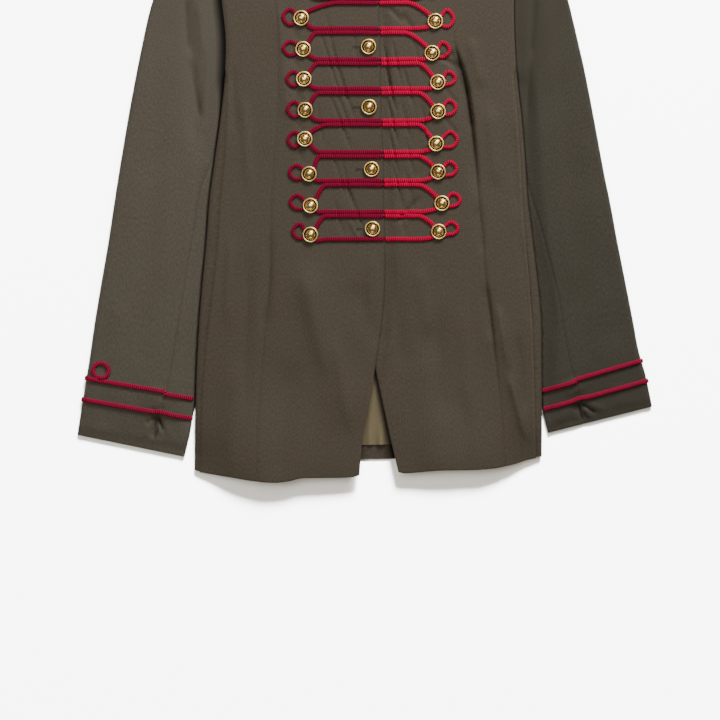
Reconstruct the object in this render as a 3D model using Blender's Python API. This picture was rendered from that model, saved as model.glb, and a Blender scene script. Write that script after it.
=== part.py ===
"""Military-style jacket, laid flat on its back with its front up.

Lengths here are millimetres, and become metres where a mesh is made. A place on the laid jacket is
(across, down, height): across is measured from the middle of the body towards the viewer's right, down
from the neck point of the shoulder towards the hem, and height from the surface that it lies on.
Left and right are the viewer's, looking down at the front.
"""

from math import cos, exp, hypot, pi, sin, sqrt

import bmesh
import bpy
from mathutils import Vector
from mathutils.bvhtree import BVHTree

MM = 0.001

# Driving sizes
WALL = 1.6  # cloth with what backs it
LINING_WALL = 1.0
LINING_MARGIN = 66.0  # from the body's edge to the lining's
LINING_TOP = 470.0
BACK_HEM_DEPTH = 18.0
SEAM = 0.3  # gap between neighbouring pieces
FRONT_LEVEL = 10.5  # height of the front's outer face over most of the body
NECK_HALF = 75.0
NECK_DROP_FRONT = 80.0
NECK_DROP_BACK = 20.0
SHOULDER_HALF = 192.5
SHOULDER_DROP = 41.0
SHOULDER_ROLL = 10.0  # how far the back comes over the shoulder to the front
COLLAR_HEIGHT = 38.0
COLLAR_WALL = 1.8
COLLAR_INSET = 1.3  # from the neckline to the collar
COLLAR_FOLD = 4.4  # radius of the collar's fold beyond each neck point
LAP_STEP = 2.4  # how far the under front lies below the lapping one
LAP_CLEAR = 3.0  # and how far beside the lap it starts to come up
UNDERARM_SHARE = 0.2557  # the underarm's place down the side front's outer edge
UNDER_SLEEVE_RISE = 5.6  # how far the body's edge is lifted where a sleeve lies beneath it
HEM_LIFT = 7.5
HEM_LIFT_FROM = 560.0
BUTTON_RADIUS = 10.0
BUTTON_HEIGHT = 7.0
CORD_WIDTH = 5.4
CORD_HEIGHT = 2.0
LIE = 0.45  # what lies on the cloth is this far above it
CUFF_LIE = 0.8  # and the cuff braids above the sleeves
BRAID_FROM_LAP = 1.2
CUFF_RING_RADIUS = 9.6

# Rows of cells down a body panel, as shares of the way from its top to its hem
ROWS_ABOVE = (0.0, 0.04, 0.085, 0.135, 0.185, 0.2343)
ROW_COUNT_BELOW = 15
BODY_ROWS = ROWS_ABOVE + tuple(
    UNDERARM_SHARE + (1 - UNDERARM_SHARE) * i / ROW_COUNT_BELOW for i in range(ROW_COUNT_BELOW + 1)
)
UNDERARM_ROW = len(ROWS_ABOVE)


def table(columns, rows):
    """The rows as one list for each named column."""
    return {name: [row[i] for row in rows] for i, name in enumerate(columns)}


# The body's edges and seams: each is a distance across, but for the two rolls, the width of cloth
# between the side seam and the body's edge, where the back comes round
BODY = table(
    ("down", "left_edge", "left_roll", "left_princess", "lap",
     "underlap", "right_princess", "right_roll", "right_edge"),
    [
        (0, -196, 4, -128, 13, -14, 128, 4, 196),
        (41, -192.5, 4, -126, 13, -14, 124, 4, 192.5),
        (80, -187, 4, -120.5, 13, -14, 117, 4, 186.5),
        (119, -182.9, 4, -115, 13.3, -14, 108, 4, 182.8),
        (169, -177.8, 4, -112.5, 14.8, -14, 107.5, 4, 183.4),
        (219, -179.4, 4, -111.9, 15.3, -14, 121, 4, 186.8),
        (269, -184.9, 8, -113.9, 16.5, -14, 128.9, 4.5, 192.4),
        (319, -191.8, 12.5, -117.4, 18.9, -14, 134.2, 5.5, 196.5),
        (369, -198.4, 14, -120.6, 19.5, -15, 138.6, 6.4, 199.8),
        (419, -202, 14.5, -121.9, 21.2, -16.3, 143.3, 8.5, 205.9),
        (469, -206.9, 14.6, -123.1, 21.2, -10.6, 147.5, 9.8, 211.9),
        (519, -211, 12.6, -127.8, 17.8, -2.5, 153.8, 10.9, 216.5),
        (569, -213.8, 10, -132, 10.6, 7.3, 159.1, 9.9, 217.1),
        (619, -215.5, 8.3, -135.6, 2, 17.8, 164.9, 9, 217.5),
        (669, -216.5, 7.4, -138.9, -6.9, 28.6, 169, 8, 217.7),
        (712, -217.3, 7, -139.6, -10.6, 38.4, 172.3, 7.5, 217.6),
        (730, -217.5, 7, -139.6, -11.5, 41, 173, 7.5, 217.6),
    ],
)

# The hems as they lie
FRONT_HEM_LEFT = table(
    ("across", "down"),
    [(-218, 708), (-180, 714), (-144, 719.6), (-117, 721.8), (-99, 720), (-84, 716.5),
     (-54, 715.8), (-20, 715), (-10, 712.3)],
)
FRONT_HEM_RIGHT = table(
    ("across", "down"),
    [(38, 708.8), (46, 710.2), (86, 706.8), (129, 706), (159, 703.8), (183, 698.8), (198, 694),
     (218, 690)],
)
BACK_HEM = table(("across", "down"), [(-218, 704), (-150, 697), (0, 693), (150, 691), (218, 689)])

# The largest folds of the body's front, each a ridge or a trough along a line
FOLDS = table(
    ("across_1", "down_1", "across_2", "down_2", "width", "rise"),
    [
        (-81, 430, -22, 665, 24, 3.0),  # broad drape of the lapping front
        (154, 500, 201, 680, 13, 2.6),  # drape of the right side front
        (112, 190, 137, 372, 7, -2.4),  # fold beside the right princess seam
        (137, 372, 144, 440, 6, -1.2),
        (-121, 400, -128, 548, 6, -1.6),  # left princess seam opens a little
        (147, 470, 154, 548, 6, -1.8),
        (-111, 110, -100, 290, 8, 1.4),
        (-95, 560, -118, 735, 17, -2.6),  # hem waves
        (-165, 560, -172, 735, 14, 1.6),
        (70, 540, 84, 735, 18, 2.2),
        (118, 600, 126, 735, 13, -1.6),
        (-20, 470, 24, 560, 15, -1.4),
    ],
)

# Each sleeve's sections from the armhole to the cuff. The outer end is a place; the inner end is on the
# body's edge, or tucked that far under it
SLEEVE_COLUMNS = ("outer_across", "outer_down", "inner_down", "tuck", "fore_seam")
SLEEVES = {
    "left": table(
        SLEEVE_COLUMNS,
        [
            (192.5, 41, 219, -0.3, 0.16),
            (206, 40, 223, -1, 0.15),
            (222, 46, 227.5, -1, 0.14),
            (239, 60, 232, -1, 0.13),
            (254, 81, 237, -1, 0.12),
            (264.5, 106, 243, -1, 0.11),
            (273, 131, 250, -1, 0.10),
            (281, 166, 260, -1, 0.10),
            (288.4, 202.5, 273, 0, 0.11),
            (297, 247.5, 290, 5, 0.13),
            (304.5, 291, 318, 12, 0.17),
            (311.8, 335, 360, 18, 0.22),
            (318, 375, 401, 20, 0.25),
            (324.6, 419, 446, 20, 0.27),
            (332.5, 465, 492, 19, 0.28),
            (341.6, 519, 546, 15, 0.29),
            (348, 564, 591, 8, 0.28),
            (354.6, 604, 631, -2, 0.27),
            (359.4, 632.5, 659, -6.1, 0.28),
            (364, 662.5, 690, -13, 0.31),
        ],
    ),
    "right": table(
        SLEEVE_COLUMNS,
        [
            (192.5, 41, 214.4, -0.3, 0.20),
            (206, 40, 218.5, -1, 0.19),
            (221, 47, 223, -1, 0.18),
            (234, 65, 228, -1, 0.17),
            (242, 87.5, 233.5, -1, 0.16),
            (248, 109, 240, -1, 0.15),
            (253.8, 131, 248, -1, 0.15),
            (262, 166, 258, -1, 0.15),
            (270.4, 202.5, 272, 0, 0.16),
            (279.3, 247.5, 290, 8, 0.18),
            (287.4, 291, 320, 20, 0.22),
            (295.6, 335, 364, 28, 0.27),
            (303.8, 375, 405, 31, 0.31),
            (311.9, 419, 450, 31, 0.35),
            (321, 465, 497, 27, 0.37),
            (331.6, 519, 548, 19, 0.36),
            (338.5, 556, 586, 10, 0.35),
            (346.9, 585, 617, 1, 0.35),
            (351.9, 607.5, 639, -2.7, 0.34),
            (356, 627, 660, -7.6, 0.35),
        ],
    ),
}
HIND_SEAM = 0.2  # share of the underside between the outer fold and the hind-arm seam
SLEEVE_OUTER_ROLL = 7.0
SHOULDER_END_ROLL = 10.0
SLEEVE_INNER_ROLL = 4.0
SLEEVE_CROWN = 10.6
ARMHOLE_LEVEL = 8.0  # height of the sleeve's outer face at the armhole seam
TUCKED_LEVEL = 4.8  # and where it lies under the body

# The sleeves' folds
SLEEVE_FOLDS = table(
    ("across_1", "down_1", "across_2", "down_2", "width", "rise"),
    [
        (-225, 90, -213, 330, 9, -2.2),  # soft trough beside the armhole
        (-262, 632, -268, 668, 6, -2.4),  # pinch at the cuff seam
        (-268, 600, -262, 632, 12, 1.2),
        (-300, 330, -318, 560, 22, 1.2),
        (211, 90, 200, 290, 8, -2.0),
        (262, 618, 270, 652, 6, -3.0),
        (252, 590, 262, 614, 12, 1.6),
        (272, 330, 300, 540, 20, 1.2),
    ],
)

# Frogging: the braid's lines down the centre front, and the side button of each frog between them
FROG_LINES = (81.6, 120.0, 157.6, 195.9, 232.8, 272.5, 311.8, 347.6, 386.3, 420.5)
FROGS = table(
    ("left_across", "left_down", "right_across", "right_down"),
    [
        (-85, 103, 81, 105),
        (-83.4, 142.1, 83.9, 145.9),
        (-81, 181, 80, 185.9),
        (-80.1, 218.4, 87, 222.3),
        (-78.5, 257, 87.3, 258.8),
        (-78.9, 293, 85.1, 298.9),
        (-73.6, 336.6, 87.4, 333.9),
        (-71.9, 376.1, 92.3, 373.1),
        (-71.9, 412.3, 88.3, 408.5),
    ],
)
SPLIT_ACROSS = 62.0  # where a double line of braid parts, from the middle
CENTRE_BUTTONS = table(
    ("across", "down"), [(0.6, 101.3), (0.6, 177.6), (1.3, 252.9), (4.4, 330.5), (5.5, 405)]
)

# Cuff braids: the sleeve section that each follows, at its outer and inner end, and where it starts
CUFF_BRAIDS = table(("side", "row", "outer_section", "inner_section", "start"), [
    ("left", "upper", 16.66, 16.69, 0.06),
    ("left", "lower", 17.46, 17.42, 0.02),
    ("right", "upper", 16.44, 16.63, 0.08),
    ("right", "lower", 17.4, 17.59, 0.03),
])
CUFF_RING = (-333.5, 581.8)


def smooth(share):
    """From 0 to 1 with level ends."""
    share = min(1.0, max(0.0, share))
    return share * share * (3 - 2 * share)


def mix(a, b, share):
    return a + (b - a) * share


def read(rows, name, at, key="down"):
    """A column's value between its rows, on a smooth curve through them."""
    xs, ys = rows[key], rows[name]
    if at <= xs[0]:
        return ys[0]
    if at >= xs[-1]:
        return ys[-1]
    i = max(k for k in range(len(xs) - 1) if xs[k] <= at)

    def slope(k):
        a, b = max(k - 1, 0), min(k + 1, len(xs) - 1)
        return (ys[b] - ys[a]) / (xs[b] - xs[a])

    step = xs[i + 1] - xs[i]
    t = (at - xs[i]) / step
    return (
        (2 * t**3 - 3 * t**2 + 1) * ys[i]
        + (t**3 - 2 * t**2 + t) * step * slope(i)
        + (3 * t**2 - 2 * t**3) * ys[i + 1]
        + (t**3 - t**2) * step * slope(i + 1)
    )


def edge(side, down):
    """The body's edge, the armhole seam above the underarm."""
    return read(BODY, side + "_edge", down)


def sign(side):
    return -1 if side == "left" else 1


def neckline(across, drop):
    """How far down the neckline is at a distance across."""
    return drop * sqrt(max(0.0, 1 - (across / NECK_HALF) ** 2))


def shoulder(across):
    slope = SHOULDER_DROP / (SHOULDER_HALF - NECK_HALF)
    return max(0.0, abs(across) - NECK_HALF) * slope


def front_top(across):
    if abs(across) >= NECK_HALF - 0.01:
        return shoulder(across) + SHOULDER_ROLL
    return max(SHOULDER_ROLL, neckline(across, NECK_DROP_FRONT))


def back_top(across):
    if abs(across) >= NECK_HALF - 0.01:
        return shoulder(across)
    return neckline(across, NECK_DROP_BACK)


def creases(folds, across, down):
    """What the folds add to the height at a place."""
    total = 0.0
    for x1, y1, x2, y2, width, rise in zip(*(folds[c] for c in folds)):
        dx, dy = x2 - x1, y2 - y1
        along = ((across - x1) * dx + (down - y1) * dy) / (dx * dx + dy * dy)
        if not 0 < along < 1:
            continue
        away = abs((across - x1) * dy - (down - y1) * dx) / hypot(dx, dy)
        if away < 3 * width:
            total += rise * exp(-((away / width) ** 2)) * smooth(4 * along) * smooth(4 * (1 - along))
    return total


def front_height(across, down):
    """Height of the front's outer face, before one front laps the other."""
    inside = min(across - edge("left", down), edge("right", down) - across)
    height = FRONT_LEVEL
    for side in (-1, 1):
        bust = ((across - side * 92) / 62) ** 2 + ((down - 235) / 85) ** 2
        height += 3.0 * exp(-bust)
    height -= 2.0 * (1 - smooth((down - SHOULDER_ROLL) / 70))
    lift = smooth((down - HEM_LIFT_FROM) / 160)
    height += HEM_LIFT * lift * smooth(inside / 90)
    return height + creases(FOLDS, across, down) * smooth(inside / 20)


def under_front_height(across, down):
    """The under front is stepped down where the other laps it, and comes up beside it."""
    beside = across - read(BODY, "lap", down)
    return front_height(across, down) - LAP_STEP * (1 - smooth((beside - LAP_CLEAR) / 14))


def lifted(side, down):
    """How far the back's outer face is lifted at the body's edge by the sleeve beneath it."""
    start = underarm(side)
    up = smooth((down - start) / 40)
    return UNDER_SLEEVE_RISE * up * (1 - smooth((down - 642) / 46))


def back_height(across, down):
    """Height of the back's outer face, which lies on the surface but for its edges."""
    height = 0.0
    for side in ("left", "right"):
        inside = sign(side) * (edge(side, down) - across)
        tuck = max(0.0, read(SLEEVES[side], "tuck", down, "inner_down"))
        height += lifted(side, down) * (1 - smooth((inside - tuck - 4) / 18))
    return height


def sleeve_height(side, across, down):
    """Height of a sleeve's upper face, low where the body's edge lies over it."""
    start = underarm(side)
    low = mix(ARMHOLE_LEVEL, TUCKED_LEVEL, smooth((down - start) / 42))
    low = mix(low, 8.0, smooth((down - 632) / 50))
    outside = sign(side) * (across - edge(side, down))
    rise = smooth(outside / 24)
    return mix(low, SLEEVE_CROWN, rise) + creases(SLEEVE_FOLDS, across, down) * smooth((outside + 2) / 12)


def hem(side, across):
    return read(FRONT_HEM_LEFT if side == "left" else FRONT_HEM_RIGHT, "down", across, "across")


def underarm(side):
    """How far down the armhole's lowest point is."""
    top = front_top(SHOULDER_HALF)
    return mix(top, hem(side, edge(side, 700)), UNDERARM_SHARE)


def side_seam(side, down):
    """The side front's outer edge: the armhole, then the side seam."""
    start = underarm(side)
    open_share = min(1.0, max(0.0, (down - start + 14) / 14))
    return edge(side, down) - sign(side) * (read(BODY, side + "_roll", down) * open_share)


# Placing of the walls

def between(first, second, shares):
    """Lines at those shares of the way from one line to another. A line gives its across at a down."""
    return [lambda down, share=share: mix(first(down), second(down), share) for share in shares]


def crossing(line, limit):
    """How far down a line meets a limit, such as a hem."""
    down = limit(0)
    for _ in range(12):
        down = limit(line(down))
    return down


def spread(lines, top, bottom, rows):
    """Places in a grid, places[row][column], with a column down each line between the two limits."""
    columns = []
    for line in lines:
        high, low = crossing(line, top), crossing(line, bottom)
        columns.append([(line(down), down) for down in (mix(high, low, row) for row in rows)])
    return [list(row) for row in zip(*columns)]


def cloth(name, outer, inner, cells, finish):
    """A closed wall with an outer and an inner face. outer and inner hold a point for each key, and
    each cell is a ring of keys, anticlockwise seen from outside."""
    mesh = bpy.data.meshes.new(name)
    bm = bmesh.new()
    used = sorted({key for cell in cells for key in cell}, key=str)
    near = {key: bm.verts.new(metres(outer[key])) for key in used}
    far = {key: bm.verts.new(metres(inner[key])) for key in used}
    sides = {(a, b) for cell in cells for a, b in zip(cell, cell[1:] + cell[:1])}
    for cell in cells:
        bm.faces.new([near[key] for key in cell])
        bm.faces.new([far[key] for key in reversed(cell)])
    for a, b in sorted(sides, key=str):
        if (b, a) not in sides:
            bm.faces.new((near[b], near[a], far[a], far[b]))
    bm.normal_update()
    bm.to_mesh(mesh)
    bm.free()
    return place(name, mesh, finish)


def metres(point):
    """A point of the laid jacket, in metres from the middle of the underside of its box."""
    across, down, height = point
    return Vector(((across + SHIFT_ACROSS) * MM, (SHIFT_DOWN - down) * MM, height * MM))


# The box runs between the two cuffs, and from the collar's top to the front's lowest hem
SHIFT_ACROSS = (SLEEVES["left"]["outer_across"][-1] - SLEEVES["right"]["outer_across"][-1]) / 2
SHIFT_DOWN = (max(FRONT_HEM_LEFT["down"]) - COLLAR_HEIGHT) / 2


def place(name, mesh, finish):
    """The object, in the jacket's collection, with its material."""
    item = bpy.data.objects.new(name, mesh)
    mesh.materials.append(material(name, *finish))
    JACKET.objects.link(item)
    return item


def material(name, colour, roughness, metallic):
    made = bpy.data.materials.new(name)
    made.use_nodes = True
    surface = made.node_tree.nodes["Principled BSDF"]
    surface.inputs["Base Color"].default_value = (*colour, 1)
    surface.inputs["Roughness"].default_value = roughness
    surface.inputs["Metallic"].default_value = metallic
    return made


GABARDINE = ((0.085, 0.069, 0.045), 0.72, 0.0)
LINING = ((0.19, 0.155, 0.07), 0.4, 0.0)
BRAID = ((0.42, 0.012, 0.05), 0.8, 0.0)
BRASS = ((0.83, 0.62, 0.28), 0.22, 1.0)


def grid_cells(rows, columns, keep=lambda row, column: True):
    """Cells between neighbouring rows and columns of keys, seen from above as rows run down."""
    return [
        ((i, j), (i + 1, j), (i + 1, j + 1), (i, j + 1))
        for i in range(rows[0], rows[-1])
        for j in range(columns[0], columns[-1])
        if keep(i, j)
    ]


def flat_panel(name, places, height, finish, wall=WALL):
    """A panel that lies as a sheet: its outer face is at height(across, down)."""
    outer, inner = {}, {}
    for i, row in enumerate(places):
        for j, (across, down) in enumerate(row):
            top = height(across, down)
            outer[i, j] = (across, down, top)
            inner[i, j] = (across, down, top - wall)
    cells = grid_cells((0, len(places) - 1), (0, len(places[0]) - 1))
    return cloth(name, outer, inner, cells, finish)


# Fronts

CENTRE_SHARES = (0, 0.18, 0.367, 0.40, 0.45, 0.53, 0.65, 0.82, 1)
SIDE_SHARES = (0, 0.2, 0.4, 0.6, 0.8, 1)


def build_fronts():
    """Each side's centre front and side front. The under front has a column of its own beside the lap,
    where it steps down."""
    half = SEAM / 2
    for side in ("left", "right"):
        out = sign(side)
        height = front_height if side == "left" else under_front_height

        def line(name, shift):
            return lambda down: read(BODY, name, down) + shift

        def stepped(down):
            return max(read(BODY, "lap", down) + LAP_CLEAR, read(BODY, "underlap", down) + LAP_CLEAR)

        inner_seam, outer_seam = line(side + "_princess", -out * half), line(side + "_princess", out * half)
        if side == "left":
            centre_lines = between(inner_seam, line("lap", 0), CENTRE_SHARES)
        else:
            centre_lines = between(inner_seam, stepped, CENTRE_SHARES)
            centre_lines += between(stepped, line("underlap", 0), (0.5, 1))
        side_lines = between(lambda down: side_seam(side, down) - out * half, outer_seam, SIDE_SHARES)
        for name, lines in (("front_", centre_lines), ("side_front_", side_lines)):
            places = spread(lines, front_top, lambda across: hem(side, across), BODY_ROWS)
            if side == "right":
                places = [row[::-1] for row in places]
            flat_panel(name + side, places, height, GABARDINE)


# Back

BACK_SHARES = (0, 0.03, 0.06, 0.1, 0.15, 0.3052, 0.33, 0.39, 0.5,
               0.61, 0.67, 0.6948, 0.85, 0.9, 0.94, 0.97, 1)
NECK_COLUMNS = (5, 11)  # the columns at the neck points
ROLL_STEPS = 5


def roll_point(centre, width, low, high, turn):
    """A point of the outer and inner face on a roll from its underside, turn 0, to its top, turn 1.
    The centre, and what is returned, are (outwards, height)."""
    angle = pi * turn
    half = (high - low) / 2
    middle = low + half
    return tuple(
        (centre + (width - wall) * sin(angle), middle - (half - wall) * cos(angle)) for wall in (0, WALL)
    )


def build_back():
    half = SEAM / 2
    sides = {
        side: lambda down, side=side: side_seam(side, down) + sign(side) * half for side in ("left", "right")
    }
    limits = [
        lambda d, side=side: edge(side, d) if d < underarm(side) - 0.01 else sides[side](d)
        for side in ("left", "right")
    ]
    lines = between(*limits, BACK_SHARES)
    places = spread(lines, back_top, lambda across: read(BACK_HEM, "down", across, "across"), BODY_ROWS)
    last_row, last = len(places) - 1, len(BACK_SHARES) - 1
    outer, inner = {}, {}
    for i, row in enumerate(places):
        for j, (across, down) in enumerate(row):
            low = back_height(across, down)
            outer[i, j] = (across, down, low)
            inner[i, j] = (across, down, low + WALL)

    # Rolls round the sides, from the underside to the side seam on the front
    for side, column in (("left", 0), ("right", last)):
        out = sign(side)
        for i in range(UNDERARM_ROW, last_row + 1):
            across, down = places[i][column]
            front_down = mix(
                front_top(SHOULDER_HALF), hem(side, edge(side, 700)), BODY_ROWS[i]
            )
            high = front_height(side_seam(side, front_down), front_down)
            low = outer[i, column][2]
            for step in range(1, ROLL_STEPS + 1):
                turn = step / ROLL_STEPS
                d = mix(down, front_down, turn)
                centre = sides[side](d)
                width = out * (edge(side, d) - centre)
                pair = roll_point(0, width, low, high, turn)
                key = (i, column + out * step)
                outer[key] = (centre + out * pair[0][0], d, pair[0][1])
                inner[key] = (centre + out * pair[1][0], d, pair[1][1])

    # Rolls over the shoulders to the shoulder seams on the front
    for j in (*range(0, NECK_COLUMNS[0] + 1), *range(NECK_COLUMNS[1], last + 1)):
        across, _ = places[0][j]
        if j in (0, last):
            across = edge("left" if j == 0 else "right", SHOULDER_DROP + SHOULDER_ROLL)
        centre = front_top(across) - SEAM
        high = front_height(across, centre)
        for step in range(0, ROLL_STEPS + 1):
            for points, (reach, z) in zip(
                (outer, inner), roll_point(0, SHOULDER_ROLL - SEAM, 0.0, high, step / ROLL_STEPS)
            ):
                down = centre - reach
                own = across
                if j in (0, last):
                    own = edge("left" if j == 0 else "right", max(SHOULDER_DROP, down))
                points[-step, j] = (own, down, z)

    cells = grid_cells((0, last_row), (0, last))
    cells += grid_cells((UNDERARM_ROW, last_row), (-ROLL_STEPS, 0))
    cells += grid_cells((UNDERARM_ROW, last_row), (last, last + ROLL_STEPS))
    cells += grid_cells((-ROLL_STEPS, 0), (0, NECK_COLUMNS[0]))
    cells += grid_cells((-ROLL_STEPS, 0), (NECK_COLUMNS[1], last))
    cells = [tuple(reversed(cell)) for cell in cells]
    cloth("back", outer, inner, cells, GABARDINE)


def build_lining():
    """The part of the back's lining that shows through the vent and under the front hem."""
    places = spread(
        between(
            lambda d: edge("left", d) + LINING_MARGIN,
            lambda d: edge("right", d) - LINING_MARGIN,
            [i / 6 for i in range(7)],
        ),
        lambda across: LINING_TOP,
        lambda across: read(BACK_HEM, "down", across, "across") - BACK_HEM_DEPTH,
        [i / 4 for i in range(5)],
    )
    level = WALL + SEAM + LINING_WALL
    flat_panel("back_lining", places, lambda a, d: back_height(a, d) + level, LINING, LINING_WALL)


# Collar

COLLAR_BASE = 0.25  # height of its underside
COLLAR_LEAN = 6.5  # how far its top edge leans in beside the neck points
COLLAR_FRONT = (1, 14, 28, 42, 55, 67)  # degrees round the front neckline from the centre front
COLLAR_BACK = (66, 46, 22, 0)  # distances across, along the back neckline


def build_collar():
    """A stand collar, flattened: its front halves lie inside the front neckline, fold over beyond the
    neck points and run along the back neckline. Its ends meet at the centre front."""
    half_width, fold = NECK_HALF - COLLAR_INSET, COLLAR_FOLD
    rows = []
    for angle in COLLAR_FRONT:
        a = angle * pi / 180
        down = (NECK_DROP_FRONT - COLLAR_INSET) * cos(a)
        rows.append((half_width * sin(a), down, COLLAR_BASE + 2 * fold, 0))
    for degrees in (45, 90, 135):
        a = degrees * pi / 180
        across = half_width - fold + fold * sin(a)
        fore, hind = (sqrt(max(0.0, 1 - (across / half_width) ** 2)) * drop
                      for drop in (NECK_DROP_FRONT - COLLAR_INSET, NECK_DROP_BACK - COLLAR_INSET))
        down = mix(fore, hind, smooth(degrees / 180))
        rows.append((across, down, COLLAR_BASE + fold + fold * cos(a), degrees))
    for across in COLLAR_BACK:
        down = (NECK_DROP_BACK - COLLAR_INSET) * sqrt(1 - (across / half_width) ** 2)
        rows.append((across, down, COLLAR_BASE, 180))
    whole = rows + [(-a, d, z, t) for a, d, z, t in rows[-2::-1]]
    outer, inner = {}, {}
    for i, (across, down, height, turn) in enumerate(whole):
        out = 1 if i < len(rows) else -1
        lean = COLLAR_LEAN * (abs(across) / half_width) ** 2
        angle = turn * pi / 180
        for j in range(3):
            share = j / 2
            x = across - out * lean * share
            d = down - COLLAR_HEIGHT * share
            outer[i, j] = (x, d, height)
            inner[i, j] = (x - out * COLLAR_WALL * sin(angle), d, height - COLLAR_WALL * cos(angle))
    cells = grid_cells((0, len(whole) - 1), (0, 2))
    cloth("collar", outer, inner, cells, GABARDINE)


# Sleeves

def sleeve_section(side, k):
    """One section's two ends as (across, down), its rolls and its share of the armhole's curve.
    k may lie between two sections."""
    rows = SLEEVES[side]
    keys = {"station": list(range(len(rows["tuck"]))), **rows}
    ax, ad, inner_down, tuck = (
        read(keys, c, k, "station") for c in ("outer_across", "outer_down", "inner_down", "tuck")
    )
    out = sign(side)
    inner_across = edge(side, inner_down) - out * tuck
    roll = mix(SHOULDER_END_ROLL, SLEEVE_OUTER_ROLL, smooth(k / 5))
    return (out * ax, ad), (inner_across, inner_down), roll, max(0.0, 1 - k / 4)


def sleeve_points(side, k, turn):
    """The outer and inner point of a sleeve at section k. turn runs round the section: 0 to 1 across
    its upper face from the inner end, to 2 round the outer fold, to 3 back along the underside and to
    4 round the inner fold."""
    (ox, od), (ix, idn), roll, curve = sleeve_section(side, k)
    long = hypot(ox - ix, od - idn)
    ex, ed = (ox - ix) / long, (od - idn) / long
    inner_centre = (ix + ex * SLEEVE_INNER_ROLL, idn + ed * SLEEVE_INNER_ROLL)
    outer_centre = (ox - ex * roll, od - ed * roll)

    def bowed(x, d):
        """The first sections follow the armhole's curve instead of a straight line."""
        if curve <= 0:
            return x
        share = (d - idn) / (od - idn) if abs(od - idn) > 1 else 0.0
        own = mix(ix, ox, min(1.0, max(0.0, share)))
        seam = edge(side, min(idn, max(od, d))) + sign(side) * SEAM
        return x + curve * (seam - own) if 0 <= share <= 1 else x

    def lofted(x, d, z):
        return (bowed(x, d), d, z)

    def along(share):
        return mix(inner_centre[0], outer_centre[0], share), mix(inner_centre[1], outer_centre[1], share)

    if turn <= 1:
        x, d = along(turn)
        z = sleeve_height(side, bowed(x, d), d)
        return lofted(x, d, z), lofted(x, d, z - WALL)
    if turn >= 2 and turn <= 3:
        x, d = along(3 - turn)
        return lofted(x, d, 0.0), lofted(x, d, WALL)
    outer_end = turn < 2
    cx, cd = outer_centre if outer_end else inner_centre
    width = roll if outer_end else SLEEVE_INNER_ROLL
    way = 1 if outer_end else -1
    share = 1 - (turn - 1) if outer_end else turn - 3
    high = sleeve_height(side, bowed(cx, cd), cd)
    pair = roll_point(0, width, 0.0, high, share)
    return tuple(lofted(cx + way * ex * reach, cd + way * ed * reach, z) for reach, z in pair)


def build_sleeves():
    """Each sleeve's two pieces, parted at the fore-arm seam above and the hind-arm seam beneath."""
    for side in ("left", "right"):
        rows = SLEEVES[side]
        last = len(rows["tuck"]) - 1
        for part in ("top", "under"):
            outer, inner = {}, {}
            for k in range(last + 1):
                (ox, od), (ix, idn), _, _ = sleeve_section(side, k)
                long = hypot(ox - ix, od - idn)
                half, seam, hind = SEAM / 2 / long, rows["fore_seam"][k], 2 + HIND_SEAM
                beside_body = (rows["tuck"][k] - SLEEVE_INNER_ROLL + 1) / long
                if part == "top":
                    turns = [mix(seam + half, 1, i / 5) for i in range(5)]
                    turns += [1 + i / 4 for i in range(5)] + [hind - half]
                else:
                    turns = [hind + half, 3, 3.33, 3.67, 4]
                    turns += [4 + min(seam - 0.04, max(0.04, beside_body)), 4 + seam - half]
                for j, turn in enumerate(turns):
                    outer[k, j], inner[k, j] = sleeve_points(side, k, turn - 4 if turn > 4 else turn)
            cells = grid_cells((0, last), (0, len(turns) - 1))
            if side == "left":
                cells = [tuple(reversed(cell)) for cell in cells]
            cloth(f"sleeve_{part}_{side}", outer, inner, cells, GABARDINE)


# Braid and buttons

def ground(*names):
    """The height of the named pieces' upper faces at a place, from the pieces themselves."""
    trees = []
    for name in names:
        mesh = bpy.data.objects[name].data
        mesh.calc_loop_triangles()
        trees.append(BVHTree.FromPolygons([v.co for v in mesh.vertices],
                                          [tuple(t.vertices) for t in mesh.loop_triangles]))

    def height(across, down):
        start = metres((across, down, 100))
        found = [tree.ray_cast(start, Vector((0, 0, -1)))[0] for tree in trees]
        return max((place.z for place in found if place is not None), default=0.0) / MM

    return height


def curved(points, steps):
    """The points with that many steps between each two, on a smooth curve through them."""
    keys = list(range(len(points)))
    rows = {"down": keys, "x": [p[0] for p in points], "y": [p[1] for p in points]}
    count = (len(points) - 1) * steps
    return [(read(rows, "x", i / steps), read(rows, "y", i / steps)) for i in range(count + 1)]


def loft(bm, sections, closed=False):
    """A closed body through sections, each a list of points in a ring."""
    rings = [[bm.verts.new(metres(point)) for point in section] for section in sections]
    count = len(rings)
    for i in range(count if closed else count - 1):
        near, far = rings[i], rings[(i + 1) % count]
        for k in range(len(near)):
            after = (k + 1) % len(near)
            bm.faces.new((near[k], near[after], far[after], far[k]))
    if not closed:
        bm.faces.new(rings[0][::-1])
        bm.faces.new(rings[-1])


def shell_mesh(name, bm):
    """The mesh of a closed bmesh, its faces turned outwards."""
    bmesh.ops.recalc_face_normals(bm, faces=bm.faces)
    mesh = bpy.data.meshes.new(name)
    bm.to_mesh(mesh)
    bm.free()
    return mesh


def cord_sections(path, height, profile):
    """Sections of braid that lies in a ring on a surface."""
    sections = []
    for i, (x, d) in enumerate(path):
        before, after = path[i - 1], path[(i + 1) % len(path)]
        dx, dd = after[0] - before[0], after[1] - before[1]
        long = hypot(dx, dd)
        section = []
        for sideways, above in profile:
            px, pd = x - dd / long * sideways, d + dx / long * sideways
            section.append((px, pd, height(px, pd) + above))
        sections.append(section)
    return sections


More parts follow.
